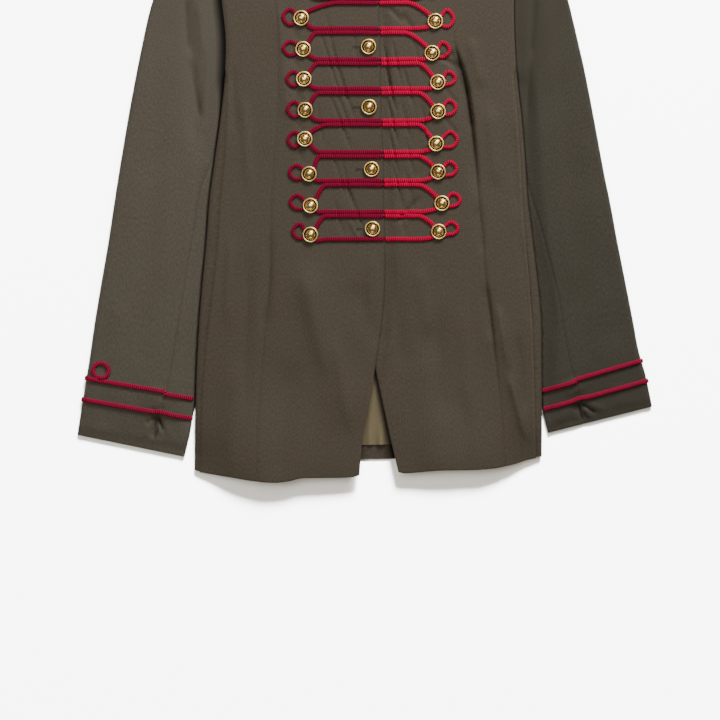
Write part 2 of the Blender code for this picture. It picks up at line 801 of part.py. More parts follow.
LINE_STEPS = 3
ARM_STEPS = 4
ROUND_STEPS = 12
CORD_EDGE = 0.18  # how far a cord's top is drawn in from each side, as a share of its width
GROOVE = 0.8  # depth between the two cords of a double line
ARM_LEAVES, ARM_ARRIVES = 16.0, 9.0  # how strongly an arm keeps its way at the line and at the button
ARM_ANGLE = 30  # where an arm meets the button, in degrees from the way inwards
RING_SINK, RING_HEIGHT = 0.2, 2.1
BUTTON_RINGS = table(("share", "rise"), [(1.0, 2.6), (0.74, 5.3), (0.32, 7.0)])
# The loop outside a side button, as (outwards, down) from the button's middle
LOOP = ((8.7, -5), (13.5, -9.6), (20, -7), (22.3, 0), (20, 7), (13.5, 9.6), (8.7, 5))


def cord_profile(low, high=CORD_HEIGHT):
    side, top = CORD_WIDTH / 2, CORD_WIDTH * (0.5 - CORD_EDGE)
    return [(-side, low), (-top, low + high), (top, low + high), (side, low)]


def dome(across, down, base):
    """A button: a short wall and a dome."""
    rings = [(1.0, 0.0)] + list(zip(BUTTON_RINGS["share"], BUTTON_RINGS["rise"]))
    turns = [2 * pi * i / ROUND_STEPS for i in range(ROUND_STEPS)]
    bm = bmesh.new()
    sections = []
    for share, rise in rings:
        r = share * BUTTON_RADIUS
        sections.append([(across + r * sin(a), down + r * cos(a), base + rise) for a in turns])
    loft(bm, sections)
    return bm


def hermite(start, start_way, end, end_way, share):
    """A place on the smooth curve from one place to another, leaving and arriving in those ways."""
    t = share
    parts = (2 * t**3 - 3 * t**2 + 1, t**3 - 2 * t**2 + t, 3 * t**2 - 2 * t**3, t**3 - t**2)
    return tuple(
        sum(part * value for part, value in zip(parts, values))
        for values in zip(start, start_way, end, end_way)
    )


class Net:
    """The braid and side buttons of one front, as one wall. A key's outer and inner point are places
    on the cloth, moved up. A ribbon is a run of cells along pairs of keys; the first key of each pair
    lies up the page where the ribbon runs outwards."""

    def __init__(self, side):
        self.out = sign(side)
        self.height = ground("front_" + side, "side_front_" + side)
        self.outer, self.inner, self.cells = {}, {}, []

    def put(self, key, x, d, rise=CORD_HEIGHT, inset=(0.0, 0.0)):
        self.inner[key] = (x, d, self.height(x, d) + LIE)
        tx, td = x + inset[0], d + inset[1]
        self.outer[key] = (tx, td, self.height(tx, td) + LIE + rise)
        return key

    def cell(self, *keys):
        self.cells.append(keys if self.out > 0 else keys[::-1])

    def ribbon(self, pairs):
        for (a, b), (c, e) in zip(pairs, pairs[1:]):
            self.cell(a, b, e, c)

    def across_cord(self, key, x, d, way_x, way_d):
        """The two sides of a cord at a place on its way."""
        long = hypot(way_x, way_d)
        nx, nd = way_d / long * self.out, -way_x / long * self.out
        ends = []
        for end, turn in (("a", CORD_WIDTH / 2), ("b", -CORD_WIDTH / 2)):
            inset = (-nx * turn * 2 * CORD_EDGE, -nd * turn * 2 * CORD_EDGE)
            ends.append(self.put((*key, end), x + nx * turn, d + nd * turn, inset=inset))
        return tuple(ends)

    def line(self, i, down, rows):
        """A double line, or a single one at the top and bottom of the frogging."""
        start = read(BODY, "lap", down) + self.out * BRAID_FROM_LAP
        single = len(rows) == 2
        for k in range(LINE_STEPS + 1):
            x = mix(start, self.out * SPLIT_ACROSS, k / LINE_STEPS)
            for row in rows:
                inwards = -row if row else sum(rows) if single else 0
                groove = GROOVE if len(rows) == 3 and row == 0 else 0.0
                self.put(("line", i, k, row), x, down + row * CORD_WIDTH, CORD_HEIGHT - groove,
                         (0.0, inwards * CORD_WIDTH * CORD_EDGE))
        for row in rows[:-1]:
            self.ribbon([(("line", i, k, row), ("line", i, k, row + 1)) for k in range(LINE_STEPS + 1)])

    def rim(self, middle, angle, share=1.0):
        """A button's edge, at an angle from the way inwards that turns up the page."""
        a = angle * pi / 180
        r = BUTTON_RADIUS * share
        return middle[0] - self.out * r * cos(a), middle[1] - r * sin(a)

    def button(self, f, middle):
        seat = button_seat(self.height, *middle)
        step = 360 // ROUND_STEPS
        angles = list(range(step // 2, 360, step))
        for ring, (share, rise) in enumerate(zip(BUTTON_RINGS["share"], BUTTON_RINGS["rise"])):
            for angle in angles:
                x, d = self.rim(middle, angle, share)
                key = self.put(("button", f, ring, angle), x, d)
                self.outer[key] = (x, d, seat + rise)
        last = len(BUTTON_RINGS["share"]) - 1
        for ring in range(last):
            for angle, after in zip(angles, angles[1:] + angles[:1]):
                self.cell(("button", f, ring + 1, angle), ("button", f, ring + 1, after),
                          ("button", f, ring, after), ("button", f, ring, angle))
        self.cell(*[("button", f, last, angle) for angle in reversed(angles)])

    def arm(self, f, middle, way, line, rows):
        """A cord from a line's end to the button: way is -1 from the line above, 1 from the one below."""
        start = (self.out * SPLIT_ACROSS, FROG_LINES[line] - way * CORD_WIDTH / 2)
        angle = -way * ARM_ANGLE % 360
        end = self.rim(middle, angle)
        ways = (self.out * ARM_LEAVES, 0), (self.out * ARM_ARRIVES, -way * ARM_ARRIVES)
        pairs = [tuple(("line", line, LINE_STEPS, row) for row in rows)]
        for k in range(1, ARM_STEPS):
            x, d = hermite(start, ways[0], end, ways[1], k / ARM_STEPS)
            ahead_x, ahead_d = hermite(start, ways[0], end, ways[1], k / ARM_STEPS + 0.02)
            pairs.append(self.across_cord(("arm", f, way, k), x, d, ahead_x - x, ahead_d - d))
        half = 180 // ROUND_STEPS
        pairs.append((("button", f, 0, angle + half), ("button", f, 0, angle - half)))
        self.ribbon(pairs)

    def loop(self, f, middle):
        pairs = [(("button", f, 0, 135), ("button", f, 0, 165))]
        for k in range(1, len(LOOP) - 1):
            (x0, d0), (x, d), (x1, d1) = LOOP[k - 1:k + 2]
            place_x, place_d = middle[0] + self.out * x, middle[1] + d
            pairs.append(self.across_cord(("loop", f, k), place_x, place_d, self.out * (x1 - x0), d1 - d0))
        pairs.append((("button", f, 0, 225), ("button", f, 0, 195)))
        self.ribbon(pairs)


def build_frogging():
    """On each front, double lines of braid that part into arms. The arms from two neighbouring lines
    run to one side button, and a loop stands outside it."""
    last_line = len(FROG_LINES) - 1
    for side in ("left", "right"):
        net = Net(side)
        for i, down in enumerate(FROG_LINES):
            net.line(i, down, [row for row in (-1, 0, 1) if (i, row) not in ((0, -1), (last_line, 1))])
        for f, middle in enumerate(zip(FROGS[side + "_across"], FROGS[side + "_down"])):
            net.button(f, middle)
            net.arm(f, middle, -1, f, (0, 1))
            net.arm(f, middle, 1, f + 1, (-1, 0))
            net.loop(f, middle)
        cloth("frogging_" + side, net.outer, net.inner, net.cells, BRAID)


def build_centre_buttons():
    height = ground("front_left")
    for i, (across, down) in enumerate(zip(CENTRE_BUTTONS["across"], CENTRE_BUTTONS["down"])):
        bm = dome(across, down, button_seat(height, across, down))
        name = f"centre_button_{i + 1}"
        place(name, shell_mesh(name, bm), BRASS)


def button_seat(height, across, down):
    """The height at which a button clears the cloth all round."""
    r = BUTTON_RADIUS
    return max(height(across + r * x, down + r * d) for x in (-1, 0, 1) for d in (-1, 0, 1)) + LIE


CUFF_BRAID_STEPS = 18
CUFF_BRAID_ROUND = (1.25, 1.5, 1.7)  # its turns round the outer fold


def build_cuff_braids():
    """Braid round each sleeve, from beside the body to just above the surface under the outer fold.
    The left sleeve's upper braid has a ring standing on it."""
    for side, row, outer_k, inner_k, start in zip(*(CUFF_BRAIDS[c] for c in CUFF_BRAIDS)):
        height = ground(f"sleeve_top_{side}", f"sleeve_under_{side}")
        turns = [mix(start, 1, i / CUFF_BRAID_STEPS) for i in range(CUFF_BRAID_STEPS + 1)]
        turns += CUFF_BRAID_ROUND

        def point(k, turn, above):
            outer, inner = (Vector(p) for p in sleeve_points(side, k, turn))
            if turn < 0.99:
                return (outer.x, outer.y, height(outer.x, outer.y) + above)
            return tuple(outer + (outer - inner).normalized() * above)

        sections = []
        for turn in turns:
            k = mix(inner_k, outer_k, min(1, turn))
            step = 0.05
            a, b = (Vector(sleeve_points(side, k + way * step, turn)[0]) for way in (-1, 1))
            per_mm = 2 * step / (b - a).length
            sections.append([point(k + sideways * per_mm, turn, above)
                             for sideways, above in cord_profile(CUFF_LIE)])
        name = f"cuff_braid_{row}_{side}"
        bm = bmesh.new()
        loft(bm, sections)
        band = place(name, shell_mesh(name, bm), BRAID)
        if (side, row) == ("left", "upper"):
            add_ring(band, height)


def add_ring(band, height):
    """Joins the ring to the band that it stands on."""
    across, down = CUFF_RING
    turns = [2 * pi * i / ROUND_STEPS for i in range(ROUND_STEPS)]
    path = [(across + CUFF_RING_RADIUS * sin(a), down + CUFF_RING_RADIUS * cos(a)) for a in turns]
    bm = bmesh.new()
    loft(bm, cord_sections(path, height, cord_profile(CUFF_LIE - RING_SINK, RING_HEIGHT)), closed=True)
    ring = bpy.data.objects.new("cuff_ring", shell_mesh("cuff_ring", bm))
    ring.hide_render = True
    ring.display_type = "WIRE"
    CUTTERS.objects.link(ring)
    union = band.modifiers.new("ring", "BOOLEAN")
    union.operation = "UNION"
    union.object = ring


JACKET = bpy.data.collections.new("military_style_jacket")
CUTTERS = bpy.data.collections.new("cutters")


def main():
    for item in list(bpy.data.objects):
        bpy.data.objects.remove(item, do_unlink=True)
    bpy.context.scene.collection.children.link(JACKET)
    bpy.context.scene.collection.children.link(CUTTERS)
    build_fronts()
    build_back()
    build_lining()
    build_collar()
    build_sleeves()
    bpy.context.view_layer.update()
    build_frogging()
    build_centre_buttons()
    build_cuff_braids()


main()
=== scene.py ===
"""A military-style jacket laid flat on its back, dressed for a close-up from straight above."""

from math import cos, pi, radians, sin, sqrt

import bpy
import numpy as np
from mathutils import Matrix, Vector


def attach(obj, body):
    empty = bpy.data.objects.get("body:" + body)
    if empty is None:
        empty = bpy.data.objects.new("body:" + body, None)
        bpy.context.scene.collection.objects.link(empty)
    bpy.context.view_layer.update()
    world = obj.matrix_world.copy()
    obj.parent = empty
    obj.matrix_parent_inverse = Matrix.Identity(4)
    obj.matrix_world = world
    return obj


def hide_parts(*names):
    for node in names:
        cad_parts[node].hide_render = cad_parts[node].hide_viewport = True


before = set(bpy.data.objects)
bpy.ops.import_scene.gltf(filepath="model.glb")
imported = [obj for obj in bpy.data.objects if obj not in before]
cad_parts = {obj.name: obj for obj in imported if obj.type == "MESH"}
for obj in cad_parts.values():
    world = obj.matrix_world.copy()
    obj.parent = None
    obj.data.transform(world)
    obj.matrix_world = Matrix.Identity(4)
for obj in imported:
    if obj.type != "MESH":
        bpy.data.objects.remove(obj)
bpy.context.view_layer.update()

MM = 0.001

# Driving sizes
WALL = 1.6  # cloth with what backs it
LINING_WALL = 1.0
LINING_MARGIN = 66.0  # from the body's edge to the lining's
LINING_TOP = 470.0
BACK_HEM_DEPTH = 18.0
SEAM = 0.06  # gap between neighbouring pieces
FRONT_LEVEL = 10.5  # height of the front's outer face over most of the body
NECK_HALF = 75.0
NECK_DROP_FRONT = 80.0
NECK_DROP_BACK = 20.0
SHOULDER_HALF = 192.5
SHOULDER_DROP = 41.0
SHOULDER_ROLL = 10.0  # how far the back comes over the shoulder to the front
COLLAR_HEIGHT = 38.0
COLLAR_WALL = 1.8
COLLAR_INSET = 1.3  # from the neckline to the collar
COLLAR_FOLD = 4.4  # radius of the collar's fold beyond each neck point
LAP_STEP = 2.4  # how far the under front lies below the lapping one
LAP_CLEAR = 3.0  # and how far beside the lap it starts to come up
UNDERARM_SHARE = 0.2557  # the underarm's place down the side front's outer edge
UNDER_SLEEVE_RISE = 5.6  # how far the body's edge is lifted where a sleeve lies beneath it
HEM_LIFT = 7.5
HEM_LIFT_FROM = 560.0
BUTTON_RADIUS = 10.0
CORD_WIDTH = 5.4
LIE = 0.45  # what lies on the cloth is this far above it
CUFF_LIE = 0.8  # and the cuff braids above the sleeves
CUFF_RING_RADIUS = 9.6


def table(columns, rows):
    """The rows as one list for each named column."""
    return {name: [row[i] for row in rows] for i, name in enumerate(columns)}


# The body's edges and seams: each is a distance across, but for the two rolls, the width of cloth
# between the side seam and the body's edge, where the back comes round
BODY_COLUMNS = ("down", "left_edge", "left_roll", "left_princess", "lap",
                "underlap", "right_princess", "right_roll", "right_edge")
BODY = table(BODY_COLUMNS, [
    (0, -196, 4, -128, 13, -14, 128, 4, 196), (41, -192.5, 4, -126, 13, -14, 124, 4, 192.5),
    (80, -187, 4, -120.5, 13, -14, 117, 4, 186.5), (119, -182.9, 4, -115, 13.3, -14, 108, 4, 182.8),
    (169, -177.8, 4, -112.5, 14.8, -14, 107.5, 4, 183.4),
    (219, -179.4, 4, -111.9, 15.3, -14, 121, 4, 186.8),
    (269, -184.9, 8, -113.9, 16.5, -14, 128.9, 4.5, 192.4),
    (319, -191.8, 12.5, -117.4, 18.9, -14, 134.2, 5.5, 196.5),
    (369, -198.4, 14, -120.6, 19.5, -15, 138.6, 6.4, 199.8),
    (419, -202, 14.5, -121.9, 21.2, -16.3, 143.3, 8.5, 205.9),
    (469, -206.9, 14.6, -123.1, 21.2, -10.6, 147.5, 9.8, 211.9),
    (519, -211, 12.6, -127.8, 17.8, -2.5, 153.8, 10.9, 216.5),
    (569, -213.8, 10, -132, 10.6, 7.3, 159.1, 9.9, 217.1),
    (619, -215.5, 8.3, -135.6, 2, 17.8, 164.9, 9, 217.5),
    (669, -216.5, 7.4, -138.9, -6.9, 28.6, 169, 8, 217.7),
    (712, -217.3, 7, -139.6, -10.6, 38.4, 172.3, 7.5, 217.6),
    (730, -217.5, 7, -139.6, -11.5, 41, 173, 7.5, 217.6),
])

# The hems as they lie
FRONT_HEM_LEFT = table(
    ("across", "down"),
    [(-218, 708), (-180, 714), (-144, 719.6), (-117, 721.8), (-99, 720), (-84, 716.5),
     (-54, 715.8), (-20, 715), (-10, 712.3)],
)
FRONT_HEM_RIGHT = table(
    ("across", "down"),
    [(38, 708.8), (46, 710.2), (86, 706.8), (129, 706), (159, 703.8), (183, 698.8), (198, 694),
     (218, 690)],
)
BACK_HEM = table(("across", "down"), [(-218, 704), (-150, 697), (0, 693), (150, 691), (218, 689)])

FOLD_COLUMNS = ("across_1", "down_1", "across_2", "down_2", "width", "rise")

# The largest folds of the body's front, each a ridge or a trough along a line
FOLDS = table(FOLD_COLUMNS, [
    (-81, 430, -22, 665, 24, 3.0),  # broad drape of the lapping front
    (154, 500, 201, 680, 13, 2.6),  # drape of the right side front
    (112, 190, 137, 372, 7, -2.4),  # fold beside the right princess seam
    (137, 372, 144, 440, 6, -1.2),
    (-121, 400, -128, 548, 6, -1.6),  # left princess seam opens a little
    (147, 470, 154, 548, 6, -1.8),
    (-111, 110, -100, 290, 8, 1.4),
    (-95, 560, -118, 735, 17, -2.6),  # hem waves
    (-165, 560, -172, 735, 14, 1.6),
    (70, 540, 84, 735, 18, 2.2),
    (118, 600, 126, 735, 13, -1.6),
    (-20, 470, 24, 560, 15, -1.4),
])

# Each sleeve's sections from the armhole to the cuff. The outer end is a place; the inner end is on the
# body's edge, or tucked that far under it
SLEEVE_COLUMNS = ("outer_across", "outer_down", "inner_down", "tuck", "fore_seam")
SLEEVES = {
    "left": table(SLEEVE_COLUMNS, [
        (192.5, 41, 219, -0.3, 0.02), (206, 40, 223, -0.3, 0.02), (222, 46, 227.5, 0.2, 0.02),
        (239, 60, 232, 1, 0.02), (254, 81, 237, 2, 0.02), (264.5, 106, 243, 3, 0.02),
        (273, 131, 250, 4, 0.02), (281, 166, 260, 5, 0.02), (288.4, 202.5, 273, 6, 0.03),
        (297, 247.5, 290, 8, 0.05), (304.5, 291, 318, 12, 0.1), (311.8, 335, 360, 18, 0.21),
        (318, 375, 401, 20, 0.25), (324.6, 419, 446, 20, 0.27), (332.5, 465, 492, 19, 0.28),
        (341.6, 519, 546, 15, 0.29), (348, 564, 591, 8, 0.28), (354.6, 604, 631, -2, 0.27),
        (359.4, 632.5, 659, -6.1, 0.28), (364, 662.5, 690, -13, 0.31),
    ]),
    "right": table(SLEEVE_COLUMNS, [
        (192.5, 41, 214.4, -0.3, 0.02), (206, 40, 218.5, -0.3, 0.02), (221, 47, 223, 0.2, 0.02),
        (234, 65, 228, 1, 0.02), (242, 87.5, 233.5, 2, 0.02), (248, 109, 240, 3, 0.02),
        (253.8, 131, 248, 4, 0.02), (262, 166, 258, 6, 0.03), (270.4, 202.5, 272, 8, 0.05),
        (279.3, 247.5, 290, 12, 0.08), (287.4, 291, 320, 20, 0.14), (295.6, 335, 364, 28, 0.24),
        (303.8, 375, 405, 31, 0.31), (311.9, 419, 450, 31, 0.35), (321, 465, 497, 27, 0.37),
        (331.6, 519, 548, 19, 0.36), (338.5, 556, 586, 10, 0.35), (346.9, 585, 617, 1, 0.35),
        (351.9, 607.5, 639, -2.7, 0.34), (356, 627, 660, -7.6, 0.35),
    ]),
}
for sections in SLEEVES.values():
    sections["station"] = list(range(len(sections["tuck"])))
HIND_SEAM = 0.2  # share of the underside between the outer fold and the hind-arm seam
SLEEVE_OUTER_ROLL = 7.0
SHOULDER_END_ROLL = 10.0
SLEEVE_INNER_ROLL = 4.0
SLEEVE_CROWN = 10.6
ARMHOLE_LEVEL = 6.8  # height of the sleeve's outer face at the armhole seam
TUCKED_LEVEL = 3.9  # and where it lies under the body

# The sleeves' folds
SLEEVE_FOLDS = table(FOLD_COLUMNS, [
    (-225, 90, -213, 330, 9, -2.2),  # soft trough beside the armhole
    (-262, 632, -268, 668, 6, -2.4),  # pinch at the cuff seam
    (-268, 600, -262, 632, 12, 1.2),
    (-300, 330, -318, 560, 22, 1.2),
    (211, 90, 200, 290, 8, -2.0),
    (262, 618, 270, 652, 6, -3.0),
    (252, 590, 262, 614, 12, 1.6),
    (272, 330, 300, 540, 20, 1.2),
])

# Frogging: the braid's lines down the centre front, and the side button of each frog between them
FROG_LINES = (81.6, 120.0, 157.6, 195.9, 232.8, 272.5, 311.8, 347.6, 386.3, 420.5)
FROGS = table(("left_across", "left_down", "right_across", "right_down"), [
    (-85, 103, 81, 105), (-83.4, 142.1, 83.9, 145.9), (-81, 181, 80, 185.9), (-80.1, 218.4, 87, 222.3),
    (-78.5, 257, 87.3, 258.8), (-78.9, 293, 85.1, 298.9), (-73.6, 336.6, 87.4, 333.9),
    (-71.9, 376.1, 92.3, 373.1), (-71.9, 412.3, 88.3, 408.5),
])
CENTRE_BUTTONS = table(
    ("across", "down"), [(0.6, 101.3), (0.6, 177.6), (1.3, 252.9), (4.4, 330.5), (5.5, 405)]
)

# Cuff braids: the sleeve section that each follows, at its outer and inner end
CUFF_COLUMNS = ("side", "row", "outer_section", "inner_section")
CUFF_BRAIDS = table(CUFF_COLUMNS, [
    ("left", "upper", 16.66, 16.58),
    ("left", "lower", 17.46, 17.37),
    ("right", "upper", 16.44, 16.63),
    ("right", "lower", 17.4, 17.59),
])
CUFF_RING = (-333.5, 581.8)
SHIFT_ACROSS = (SLEEVES["left"]["outer_across"][-1] - SLEEVES["right"]["outer_across"][-1]) / 2
SHIFT_DOWN = (max(FRONT_HEM_LEFT["down"]) - COLLAR_HEIGHT) / 2
COLLAR_FRONT = (1, 67)  # degrees round the neck from the middle
COLLAR_BACK = (66, 0)
COLLAR_BASE = 0.25
COLLAR_LEAN = 6.5
VENT_APEX = 578.0
FACING = 34.0  # how far the hem and front edges are faced with the outer cloth

# Cloth
FINE_SHARE = 1.9  # how much of each small crease is kept
RIPPLE = 0.15
RIPPLE_ON_SLEEVE = 1.5
SEAM_WIDTH = 2.4
SLEEVE_SEAM_DEPTH = 0.45
SIDE_SEAM_PAINTED_HIGHLIGHT = {"left": 0.2, "right": 0.9}  # how pale the side seam's ridge is painted: a painted highlight
TWILL_ANGLE = 63.0  # from the grain
TWILL_PITCH = 0.0009
CLOTH_COLOUR = (0.0615, 0.0500, 0.0372)
# The body's cloth, painted lighter on the left sleeve and darker on the right: painted light and painted
# shade
LEFT_SLEEVE_PAINTED_LIGHT_COLOUR = (0.0715, 0.0628, 0.0492)
RIGHT_SLEEVE_PAINTED_SHADE_COLOUR = (0.0460, 0.0415, 0.0318)
LINING_COLOUR = (0.153, 0.125, 0.074)
THREAD_COLOUR = (0.05, 0.042, 0.03)
MARK_RANGE = (-2, 1)  # the seam mark, from the darkest painted shade to the palest wear and painted highlight
# How dark the painted shade is at its darkest, and how pale the wear and painted highlight are at their
# palest
DARKEST_PAINTED_SHADE = 0.06
PALEST_WEAR_AND_HIGHLIGHT = 1.22
LEAST_WALL = 0.8
NECK_SHARE = 0.3052  # of the back's width, from its side to the neck point
SECTION_STEP = 29.0  # along a sleeve, from one section to the next
STATION_STEP = 2.7  # of cloth, from one row of the sleeve's mesh to the next
# Beside the body each sleeve is darkened with a painted shadow of the body's edge: how wide at the armhole
# and at the underarm, and how much
SLEEVE_PAINTED_SHADOWS = {"left": (13.0, 3.2, 2.0), "right": (2.6, 2.6, 1.3)}

# Braid
BRAID_WIDTH = 5.6
BRAID_HEIGHT = 2.0
BRAID_SIDES = 12
RING_WIDTH = 5.0
LOOP_THIN = 0.2
BRAID_STEP = 0.55
RIB_PITCH = 0.0026
RIB_SLANT = 0.3
# Where each frog's upper and lower arm leave the lines, from the middle
SPLITS = {
    "left": ((58, 36, 64, 62, 61, 50, 60, 52, 52), (60, 66, 62, 61, 60, 59, 56, 50, 50)),
    "right": ((58, 48, 45, 62, 62, 62, 62, 62, 62), (52, 50, 56, 60, 62, 59, 61, 63, 58)),
}
BRAID_END = {"left": -0.8, "right": 0.3}  # from the lap
LINE_BOW = 0.35
# Each braid's colour, then the painted shade in its grooves. The fronts' braid is one cord, painted darker
# on the left and lighter on the right: painted shade and painted light
BRAID_LEFT_PAINTED_SHADE = ((0.25, 0.006, 0.035), (0.06, 0.002, 0.010))
BRAID_RIGHT_PAINTED_LIGHT = ((0.50, 0.002, 0.046), (0.22, 0.001, 0.018))
BRAID_CUFF = ((0.40, 0.012, 0.058), (0.015, 0.001, 0.005))
CUFF_STEPS = {("left", "upper"): (2.0, 0.0), ("left", "lower"): (0.0, -1.5),
              ("right", "upper"): (2.2, 0.0), ("right", "lower"): (0.0, -2.0)}

SLEEVE_LEAST = 3.6  # two layers and what lies between
CUFF_SINK = 4.6  # how much flatter the sleeves lie at the cuff
CUFF_LINES = {"left": (-364, 662.5, -203, 690), "right": (356, 627, 210, 660)}
CUFF_STARTS = {("left", "upper"): 0.0, ("left", "lower"): -0.35,
               ("right", "upper"): -0.03, ("right", "lower"): -0.3}
CUFF_END = 1.7  # turns, just round the outer fold
CUFF_FOLD_LIE = 0.05  # how far the cuff braids stand off the folds
UP = np.array([0.0, 0.0, 1.0])

# Buttons: the profile as (radius, height)
BUTTON_PROFILE = [
    (0.05, 6.5), (1.2, 6.45), (2.2, 6.3), (3.5, 5.85), (4.8, 5.0), (5.9, 3.8), (6.6, 2.6), (7.0, 1.8),
    (7.3, 1.5), (7.6, 1.8), (7.9, 2.6), (8.4, 3.1), (9.0, 3.2), (9.55, 2.8), (9.9, 2.0), (10, 1.2),
    (9.7, 0.4), (9.2, 0.0),
]
BUTTON_DISH = (6.75, 7.8)
BRASS_POLISHED = ((0.80, 0.57, 0.23), 0.20, 0.08)  # colour, roughness and how much scuffs add to it
# The dish is painted near black: painted shade in the groove between the dome and the rim
BRASS_DISH_PAINTED_SHADE = ((0.030, 0.011, 0.004), 0.45, 0.20)
BRASS_RIM = ((0.90, 0.72, 0.33), 0.33, 0.10)
# How the side buttons lean: a phase, then the middle, swing, step and start of their turns
BUTTON_TURNS = {"left": (1, 200, 70, 2.7, 0.5), "right": (2.6, 170, 60, 3.1, 0.0)}
BUTTON_SIDES = 53
SIDE_BUTTON_LEAN = 0.09
SIDE_BUTTON_LIFT = 0.5
HOLE_OUT = 19.5
HOLE_IN = 10.5
HOLE_STITCH = 0.62

# The scene
CAMERA_HEIGHT = 3.0
CAMERA_ABOVE = 0.008  # the height of the jacket's face, which the frame's width is measured at
FRAME_CENTRE = (-0.006, -0.22685)
FRAME_WIDTH = 0.9
LOOK_AT = (0.0, -0.22, 0.0)
FLOOR = -0.0004
FLOOR_HALF = 6.0
FLOOR_COLOUR = (0.90, 0.91, 0.93)
WORLD_COLOUR = (1.0, 0.95, 0.86)
WORLD_STRENGTH = 0.16
# Lamps: place, size, power and colour. The cards are for the brass: they give no diffuse light
CARDS = (
    ("card_above", (0.05, 0.75, 2.4), (1.5, 1.0), 27.0, (1.0, 0.96, 0.84)),
    ("card_below", (0.0, -1.7, 0.95), (0.8, 0.4), 5.0, (1.0, 0.82, 0.50)),
)
LIGHTS = (
    ("window", (1.05, 2.55, 1.76), (1.45, 1.05), 166.0, (1.0, 0.98, 0.95)),
    ("overhead", (-1.0, 0.3, 2.5), (1.6, 1.1), 32.0, (1.0, 0.96, 0.88)),
)
# Suns that light the floor alone: where from, strength, angle in degrees and colour
FLOOR_LIGHTS = (
    ("floor_sun", (0.17, 0.82, 0.545), 38.0, 15.0, (1.0, 1.0, 1.0)),
    ("floor_fill", (0.0, 0.0, 1.0), 1.15, 100.0, (1.0, 0.88, 0.66)),
)

# Creases too small for the solids: a ridge or a trough along a line
FINE_FOLDS = table(FOLD_COLUMNS, [
    (24.6, 127.1, 46.6, 149.1, 3.1, -0.9), (41.4, 134.2, 57.4, 158.2, 2.9, -0.8),
    (-61.2, 153.8, -33.8, 243.8, 1.61, -0.66), (-48.8, 163.8, -22.5, 258.8, 1.61, -0.75),
    (-38.8, 196.2, -13.8, 278.8, 1.53, -0.55), (-48.8, 233.8, -18.8, 312.5, 1.61, -0.75),
    (-39.4, 233.7, -21.9, 281.3, 1.8, -0.7), (-46.2, 306.2, -26.2, 368.8, 1.61, -0.61),
    (-33.8, 316.2, -17.5, 383.8, 1.61, -0.7), (-27.5, 346.2, -2.5, 413.8, 1.61, -0.79),
    (-20, 148.8, -10, 223.8, 2.04, -0.44), (-65, 241.2, -55, 306.2, 2.04, -0.44),
    (-43.8, 363.8, -28.8, 418.8, 1.78, -0.55), (-81.2, 193.8, -67.5, 268.8, 2.21, -0.44),
    (-53.8, 131.2, -40, 193.8, 2.04, -0.44), (-25.5, 390.2, -9.5, 422.2, 1.8, 0.66),
    (17.9, 163.8, 30, 238.8, 1.61, -0.91), (28.8, 163.8, 42.5, 228.8, 1.61, -0.66),
    (21.2, 198.8, 36.2, 263.8, 1.61, -1.05), (42.5, 198.8, 58.8, 258.8, 1.61, -0.7),
    (23.1, 238.8, 38.8, 303.8, 1.61, -0.96), (40, 241.2, 55, 301.2, 1.61, -0.58),
    (25, 278.8, 40, 343.8, 1.61, -0.79), (46.2, 288.8, 60, 348.8, 1.61, -0.58),
    (28.8, 318.8, 46.2, 386.2, 1.61, -0.84), (45, 326.2, 60, 386.2, 1.61, -0.58),
    (35, 356.2, 47.5, 418.8, 1.61, -0.58), (65, 243.8, 77.5, 306.2, 1.78, -0.66),
    (55, 163.8, 70, 223.8, 1.87, -0.49), (71.5, 299.7, 61, 345.3, 2.7, -0.55),
    (33.8, 400.3, 68.7, 362.2, 3.5, -0.88), (-113.8, 112.5, -105, 206.2, 1.7, 0.22),
    (-105, 193.8, -98.8, 288.8, 1.6, 0.2), (-97.3, 149.2, -85.2, 173.2, 3.1, -0.3),
    (-96.4, 190, -82.4, 210, 3.1, -0.3), (-95.1, 227.1, -81.1, 249.1, 3.1, -0.3),
    (-92.6, 267.5, -78.6, 287.5, 3.1, -0.3), (-90.1, 307.5, -76.1, 327.5, 3.1, -0.3),
    (89.2, 188.2, 113.3, 204.2, 3.6, -1.1), (103, 181, 117, 209, 3.8, -1.3),
    (109.4, 190.7, 126.8, 243, 4.1, -1.6), (122.5, 228.8, 131.2, 283.8, 3.2, -1.3),
    (95.4, 229.6, 113.4, 251.6, 2.9, -0.5), (95.4, 267.1, 113.4, 289.1, 2.9, -0.5),
    (127.5, 163.8, 142.5, 231.2, 7, 1), (151.2, 243.8, 161.2, 356.2, 8, 0.9),
    (-170, 193.8, -165, 293.8, 5, -0.5), (-156.2, 231.2, -147.5, 368.8, 6, 0.6),
    (-171.2, 406.2, -177.5, 531.2, 5, 0.7), (-147.5, 418.8, -155, 643.8, 7, -0.7),
    (-85, 446.2, -47.5, 600, 11, 0.9), (-43.8, 531.2, -20, 668.8, 7, 0.8),
    (30, 431.2, 46.2, 593.8, 10, -0.7), (62.5, 446.2, 78.8, 543.8, 9, 0.7),
    (85, 493.8, 98.8, 656.2, 10, -0.7), (117.5, 493.8, 127.5, 656.2, 9, 0.7),
    (21.2, 431.2, 20, 531.2, 5, -0.6), (5, 431.2, 3.8, 531.2, 6, 0.5), (161.2, 493.8, 176.2, 583.8, 4, 1),
    (175, 583.8, 198.8, 673.8, 4.5, 1.2), (186.2, 531.2, 197.5, 643.8, 5, -0.8),
    (180, 268.8, 187.5, 393.8, 5, -0.6), (191.2, 406.2, 203.8, 531.2, 5, -0.7),
])
